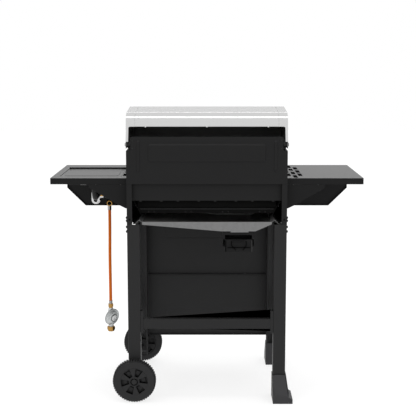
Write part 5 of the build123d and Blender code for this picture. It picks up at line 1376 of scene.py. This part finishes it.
# ---------------------------------------------------------------- gas
@dataclass
class Gas(Assembly):
    """Manifold, valves, the side burner's feed, and the hose with its fittings."""

    radius: float = 6.5 * MM
    length: float = 403 * MM
    route: tuple[Point, ...] = (
        (0.422, -0.205, 0.693),
        (0.422, -0.205, 0.605),
        (0.4244, -0.207, 0.49),
        (0.4236, -0.206, 0.375),
        (0.4236, -0.206, 0.29),
    )
    inlet_block: Pair = (0.0145, 0.7445)  # half its width, and its top
    sleeve_reach: float = 0.023
    sleeve: Profile = ((0.0, 0.0), (0.0, 0.007), (0.001, 0.0076), (0.022, 0.0076),
                       (0.023, 0.0072), (0.023, 0.0))
    # A silver half ring round the inlet sleeve's +X side, which gives the black sleeve a bright
    # side.
    clip_span: Pair = (-4.0, 168.0)  # degrees from +Y towards +X
    clip_radii: Pair = (0.0074, 0.0087)
    clip_start: float = 0.0015
    groove: float = 0.0005
    ferrule: tuple[float, float, int] = (0.008, 0.014, 4)
    nut_heights: Pair = (0.276, 0.1725)  # of the top nut and the union nut
    top_nut: Pair = (0.0108, 0.0155)
    stem: Profile = ((0.015, 0.0), (0.015, 0.0085), (0.02, 0.0085), (0.02, 0.0))
    union_nut: tuple[float, ...] = (0.0172, 0.0155, 0.0105, 0.0018)
    collar: Profile = ((0.015, 0.0105), (0.015, 0.014), (0.0195, 0.014), (0.0205, 0.013),
                       (0.0205, 0.0108), (0.015, 0.0105))
    elbow_place: Point = (-0.001, -0.201, 0.724)
    elbow_bore: float = 0.0084
    elbow_ring: Profile = ((0.0, 0.0), (0.0, 0.0105), (0.0015, 0.012), (0.0095, 0.012),
                           (0.0108, 0.0114), (0.0112, 0.0104), (0.0108, 0.0086), (0.009, 0.008),
                           (0.002, 0.0078), (0.002, 0.0))
    turn: float = 45.0
    dip: float = -0.16
    case_height: float = 0.218
    case_forward: float = 8.0 * MM
    case: Profile = ((-0.024, 0.0), (-0.024, 0.0105), (-0.0232, 0.0118), (-0.019, 0.0175),
                     (-0.017, 0.0195), (-0.008, 0.027), (-0.0048, 0.03), (-0.0036, 0.036),
                     (-0.0028, 0.0372), (0.0028, 0.0372), (0.0036, 0.0364), (0.0042, 0.0335),
                     (0.0058, 0.0322), (0.0085, 0.0285), (0.0125, 0.022), (0.014, 0.018))
    case_groove: Profile = ((0.0136, 0.0184), (0.014, 0.018), (0.0132, 0.0172),
                            (0.0124, 0.015), (0.0124, 0.0142))
    case_button: Profile = ((0.012, 0.0144), (0.0165, 0.0138), (0.0176, 0.0128),
                            (0.018, 0.0112), (0.018, 0.006), (0.0172, 0.005), (0.0172, 0.0))
    neck: Profile = ((0.024, 0.0), (0.024, 0.0125), (0.0335, 0.0118), (0.035, 0.01),
                     (0.0395, 0.0096), (0.0395, 0.0085), (0.0395, 0.0))
    outlet: Profile = ((-0.047, 0.0), (-0.047, 0.01), (-0.0464, 0.0105), (-0.036, 0.0108),
                       (-0.028, 0.0135), (-0.022, 0.014), (-0.022, 0.0))
    front_radius: float = 0.0186
    groove_levels: Pair = (0.0119, 0.017)
    button_level: float = 0.0168
    rim_radii: Pair = (0.0355, 0.038)
    rim_level: float = -0.004

    def build(self) -> None:
        """Builds the gas line from the manifold to the regulator."""
        inlet = self.route[0][0]
        half, top = self.inlet_block
        self.dress("gas_manifold", 0.0006, Coat.BODY,
                   (Coat.SLEEVE, lambda face: (face.z < top) & (np.abs(face.x - inlet) < half)))
        self.dress("gas_valves", 0.0006, Coat.BRASS)
        self.dress("side_burner_feed", 0.0, Coat.PIPE)
        hose = self.hose()
        pieces = [*self.ferrules(), self.nuts(), self.regulator()]
        self.elbow()

    def hose(self) -> bpy.types.Object:
        """Makes the hose.

        Returns:
            A smooth curve whose control points are the route.
        """
        curve = bpy.data.curves.new("hose", "CURVE")
        curve.dimensions = "3D"
        curve.bevel_depth = self.radius
        curve.bevel_resolution = 8
        curve.use_fill_caps = True
        spline = curve.splines.new("NURBS")
        spline.points.add(len(self.route) - 1)
        for point, place in zip(spline.points, self.route):
            point.co = (*place, 1.0)
        spline.order_u = 3
        spline.use_endpoint_u = True
        spline.resolution_u = 24
        hose = bpy.data.objects.new("hose", curve)
        bpy.context.scene.collection.objects.link(hose)
        self.paint.coat(hose, Coat.HOSE)
        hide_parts("gas_hose")
        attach(hose, frame["nodes"]["gas_hose"]["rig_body"])
        log.info("hose: %d control points", len(self.route))
        return hose

    def crimped(self, radius: float, height: float, rings: int) -> bpy.types.Object:
        """Makes a ferrule pressed into rings: its radius dips by groove * sin squared of the way.

        Args:
            radius: its largest radius.
            height: its length, downwards.
            rings: how many rings it has.

        Returns:
            The ferrule.
        """
        way = np.linspace(0, 1, rings * 8 + 1)
        waist = radius - self.groove * np.sin(np.pi * rings * way) ** 2
        profile = [(0.0, 0.0), *zip(way * height, waist), (height, 0.0)]
        return turned("ferrule", profile, self.route[-1:], DOWN, steps=40)

    def ferrules(self) -> tuple[bpy.types.Object, ...]:
        """Makes the inlet's black sleeve, a silver half ring round it and the lower ferrule.

        Returns:
            The sleeve, and the silver pieces as one.
        """
        x, y, z = self.route[0]
        sleeve = turned("hose_sleeve", self.sleeve, self.route[:1], UP, steps=40)
        self.paint.coat(sleeve, Coat.SLEEVE)
        angle = np.radians(np.linspace(*self.clip_span, 20))
        inner, outer = self.clip_radii
        radii = np.array([inner, outer, outer, inner])[:, None, None]
        rows = (x, y) + np.stack([np.sin(angle), np.cos(angle)], -1) * radii
        heights = z + np.repeat((self.clip_start, self.sleeve_reach), 2)
        silver = gathered("hose_ferrule_rings", [
            layered("clip", rows, heights, 2, True), self.crimped(*self.ferrule)])
        self.paint.coat(silver, Coat.CRIMP)
        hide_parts("hose_ferrules")
        return fixed_to(sleeve, "hose_ferrules"), fixed_to(silver, "hose_ferrules")

    def nuts(self) -> bpy.types.Object:
        """Makes the brass nut over the regulator, and the union nut under it.

        Returns:
            Both as one piece.
        """
        x, y, _ = self.route[-1]
        top, union = ((x, y, z) for z in self.nut_heights)
        nuts = gathered("regulator_nuts", [
            hex_nut("top_nut", top, DOWN, *self.top_nut),
            turned("stem", self.stem, [top], DOWN),
            hex_nut("union_nut", union, DOWN, *self.union_nut),
            turned("collar", self.collar, [union], DOWN),
        ])
        self.paint.coat(nuts, Coat.BRASS)
        return stands_for(nuts, "hose_nuts")

    def elbow(self) -> None:
        """Makes the brass elbow behind the inlet: a ring that looks rearwards, with its bore
        painted black as shade.
        """
        shift, y, z = self.elbow_place
        x = self.route[0][0] + shift
        ring = turned("inlet_elbow", self.elbow_ring, [(x, y, z)], REAR)
        self.add(ring, "gas_manifold", Coat.BRASS, (Coat.SLEEVE, lambda face: np.hypot(
            face.x - x, face.z - z) < self.elbow_bore))

    def regulator(self) -> bpy.types.Object:
        """Makes the regulator: a diaphragm case with a flange, a stepped front and a raised middle.

        Returns:
            The case, its neck and its outlet as one piece.
        """
        x, y, _ = self.route[-1]
        axis = np.array((x, y, self.case_height))
        turn = math.radians(self.turn)
        facing = np.array((-math.sin(turn), math.cos(turn), self.dip))
        facing = facing / np.linalg.norm(facing)
        centre = axis + facing * self.case_forward
        parts = [turned("case", profile, [centre], facing, steps=72)
                 for profile in (self.case, self.case_groove, self.case_button)]
        parts += [turned("neck", profile, [axis], UP) for profile in (self.neck, self.outlet)]
        whole = gathered("regulator", parts)

        def level(face: Faces, inner: float = 0.0, outer: float = self.front_radius) -> np.ndarray:
            """A face's distance from the middle along the axis, or -1 outside the two radii."""
            away = face.centres - centre
            along = away @ facing
            radius = np.linalg.norm(away - along[:, None] * facing, axis=1)
            return np.where((radius > inner) & (radius < outer), along, -1.0)

        low, high = self.groove_levels
        self.paint.coat(whole, Coat.REGULATOR,
                        (Coat.GROOVE, lambda face: (level(face) > low) & (level(face) < high)),
                        (Coat.GROOVE, lambda face: (level(face, *self.rim_radii) > self.rim_level)
                         & (np.abs(face.normals @ facing) < 0.7)),
                        (Coat.BUTTON, lambda face: level(face) > self.button_level))
        return stands_for(whole, "gas_regulator")


# ---------------------------------------------------------------- studio
@dataclass(frozen=True)
class Lamp:
    """A soft rectangular lamp that points at the middle of the grill, and may show in gloss."""

    name: str
    place: Point
    size: Pair
    power: float
    in_gloss: bool = False
    aim: Point = (0.0, 0.0, 0.6)

    def build(self) -> None:
        """Puts the lamp into the scene."""
        data = bpy.data.lights.new(self.name, "AREA")
        data.shape = "RECTANGLE"
        data.size, data.size_y = self.size
        data.energy = self.power
        lamp = bpy.data.objects.new(self.name, data)
        lamp.location = self.place
        way = Vector(self.aim) - Vector(self.place)
        lamp.rotation_euler = way.to_track_quat("-Z", "Y").to_euler()
        lamp.visible_glossy = self.in_gloss
        bpy.context.scene.collection.objects.link(lamp)


@dataclass
class Studio:
    """Camera, floor, world and lamps."""

    eye: Point = (-0.0043, 4.0014, 1.3576)
    down: float = 8.87
    focal: float = 982.0
    view_width: float = 416.0
    sensor: float = 36.0
    ambient: float = 0.95
    floor_rings: tuple[float, ...] = (0.0, 1.0, 4.0, 14.0)
    floor_glow: Pair = (0.45, 0.755)
    lamps: tuple[Lamp, ...] = (
        Lamp("key", (-2.6, 4.2, 2.6), (2.2, 1.6), 24.0),
        Lamp("fill", (3.0, 3.6, 2.4), (2.0, 1.6), 19.0),
        Lamp("top", (0.0, 0.3, 4.4), (6.0, 1.0), 60.0, in_gloss=True),
        Lamp("front", (0.0, -4.2, 3.4), (6.0, 0.5), 22.0, in_gloss=True),
    )

    def camera(self) -> None:
        """Places the camera behind the grill, level and looking slightly down."""
        data = bpy.data.cameras.new("camera")
        data.sensor_width = self.sensor
        data.lens = self.sensor * self.focal / self.view_width
        data.clip_end = 100.0
        camera = bpy.data.objects.new("camera", data)
        camera.location = self.eye
        camera.rotation_euler = (math.radians(90 - self.down), 0.0, math.radians(180))
        bpy.context.scene.collection.objects.link(camera)
        bpy.context.scene.camera = camera

    @staticmethod
    def seen(tree: bpy.types.NodeTree) -> bpy.types.NodeSocket:
        """Adds a factor that is 1 for rays from the camera, from gloss and through glass.

        Args:
            tree: the node tree that it goes into.

        Returns:
            The socket with the factor.
        """
        path = tree.nodes.new("ShaderNodeLightPath")
        total = path.outputs["Is Camera Ray"]
        for name in ("Is Glossy Ray", "Is Transmission Ray"):
            step = tree.nodes.new("ShaderNodeMath")
            step.operation = "MAXIMUM"
            tree.links.new(total, step.inputs[0])
            tree.links.new(path.outputs[name], step.inputs[1])
            total = step.outputs[0]
        return total

    def world(self) -> None:
        """Makes a world that is white for the eye and for gloss, and a little dimmer as light."""
        world = bpy.data.worlds.new("studio_world")
        bpy.context.scene.world = world
        world.use_nodes = True
        tree = world.node_tree
        back = tree.nodes["Background"]
        back.inputs["Color"].default_value = (1.0, 1.0, 1.0, 1.0)
        strength = tree.nodes.new("ShaderNodeMix")
        strength.data_type = "FLOAT"
        strength.inputs[2].default_value = self.ambient
        strength.inputs[3].default_value = 1.0
        tree.links.new(self.seen(tree), strength.inputs[0])
        tree.links.new(strength.outputs[0], back.inputs["Strength"])

    def floor(self) -> None:
        """Makes a round white floor that shows a faint shadow."""
        floor = turned("floor", [(0.0, ring) for ring in self.floor_rings], [(0.0, 0.0, 0.0)], UP,
                       steps=64)
        recipe = Recipe("floor_white")
        recipe.set(Base_Color=(0.26, 0.26, 0.26, 1.0), Roughness=0.9,
                   Emission_Color=(1.0, 1.0, 1.0, 1.0))
        low, high = self.floor_glow
        recipe.set(Emission_Strength=recipe.node(
            "ShaderNodeMix", {"data_type": "FLOAT"},
            {0: Signal(recipe, self.seen(recipe.tree)), 2: low, 3: high}))
        floor.data.materials.append(recipe.material)

    def build(self) -> None:
        """Sets the whole studio up."""
        self.camera()
        self.world()
        self.floor()
        for lamp in self.lamps:
            lamp.build()
        bpy.context.scene.view_settings.view_transform = "Standard"


def main() -> None:
    """Builds the grill's looks, then the studio."""
    logging.basicConfig(level=logging.INFO, format="%(message)s")
    paint = Paintbox()
    for assembly in (Gas, Cart, Firebox, Lid, Drippings, Tables):
        assembly(paint).build()
    Studio().build()
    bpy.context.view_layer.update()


if __name__ == "__main__":
    main()
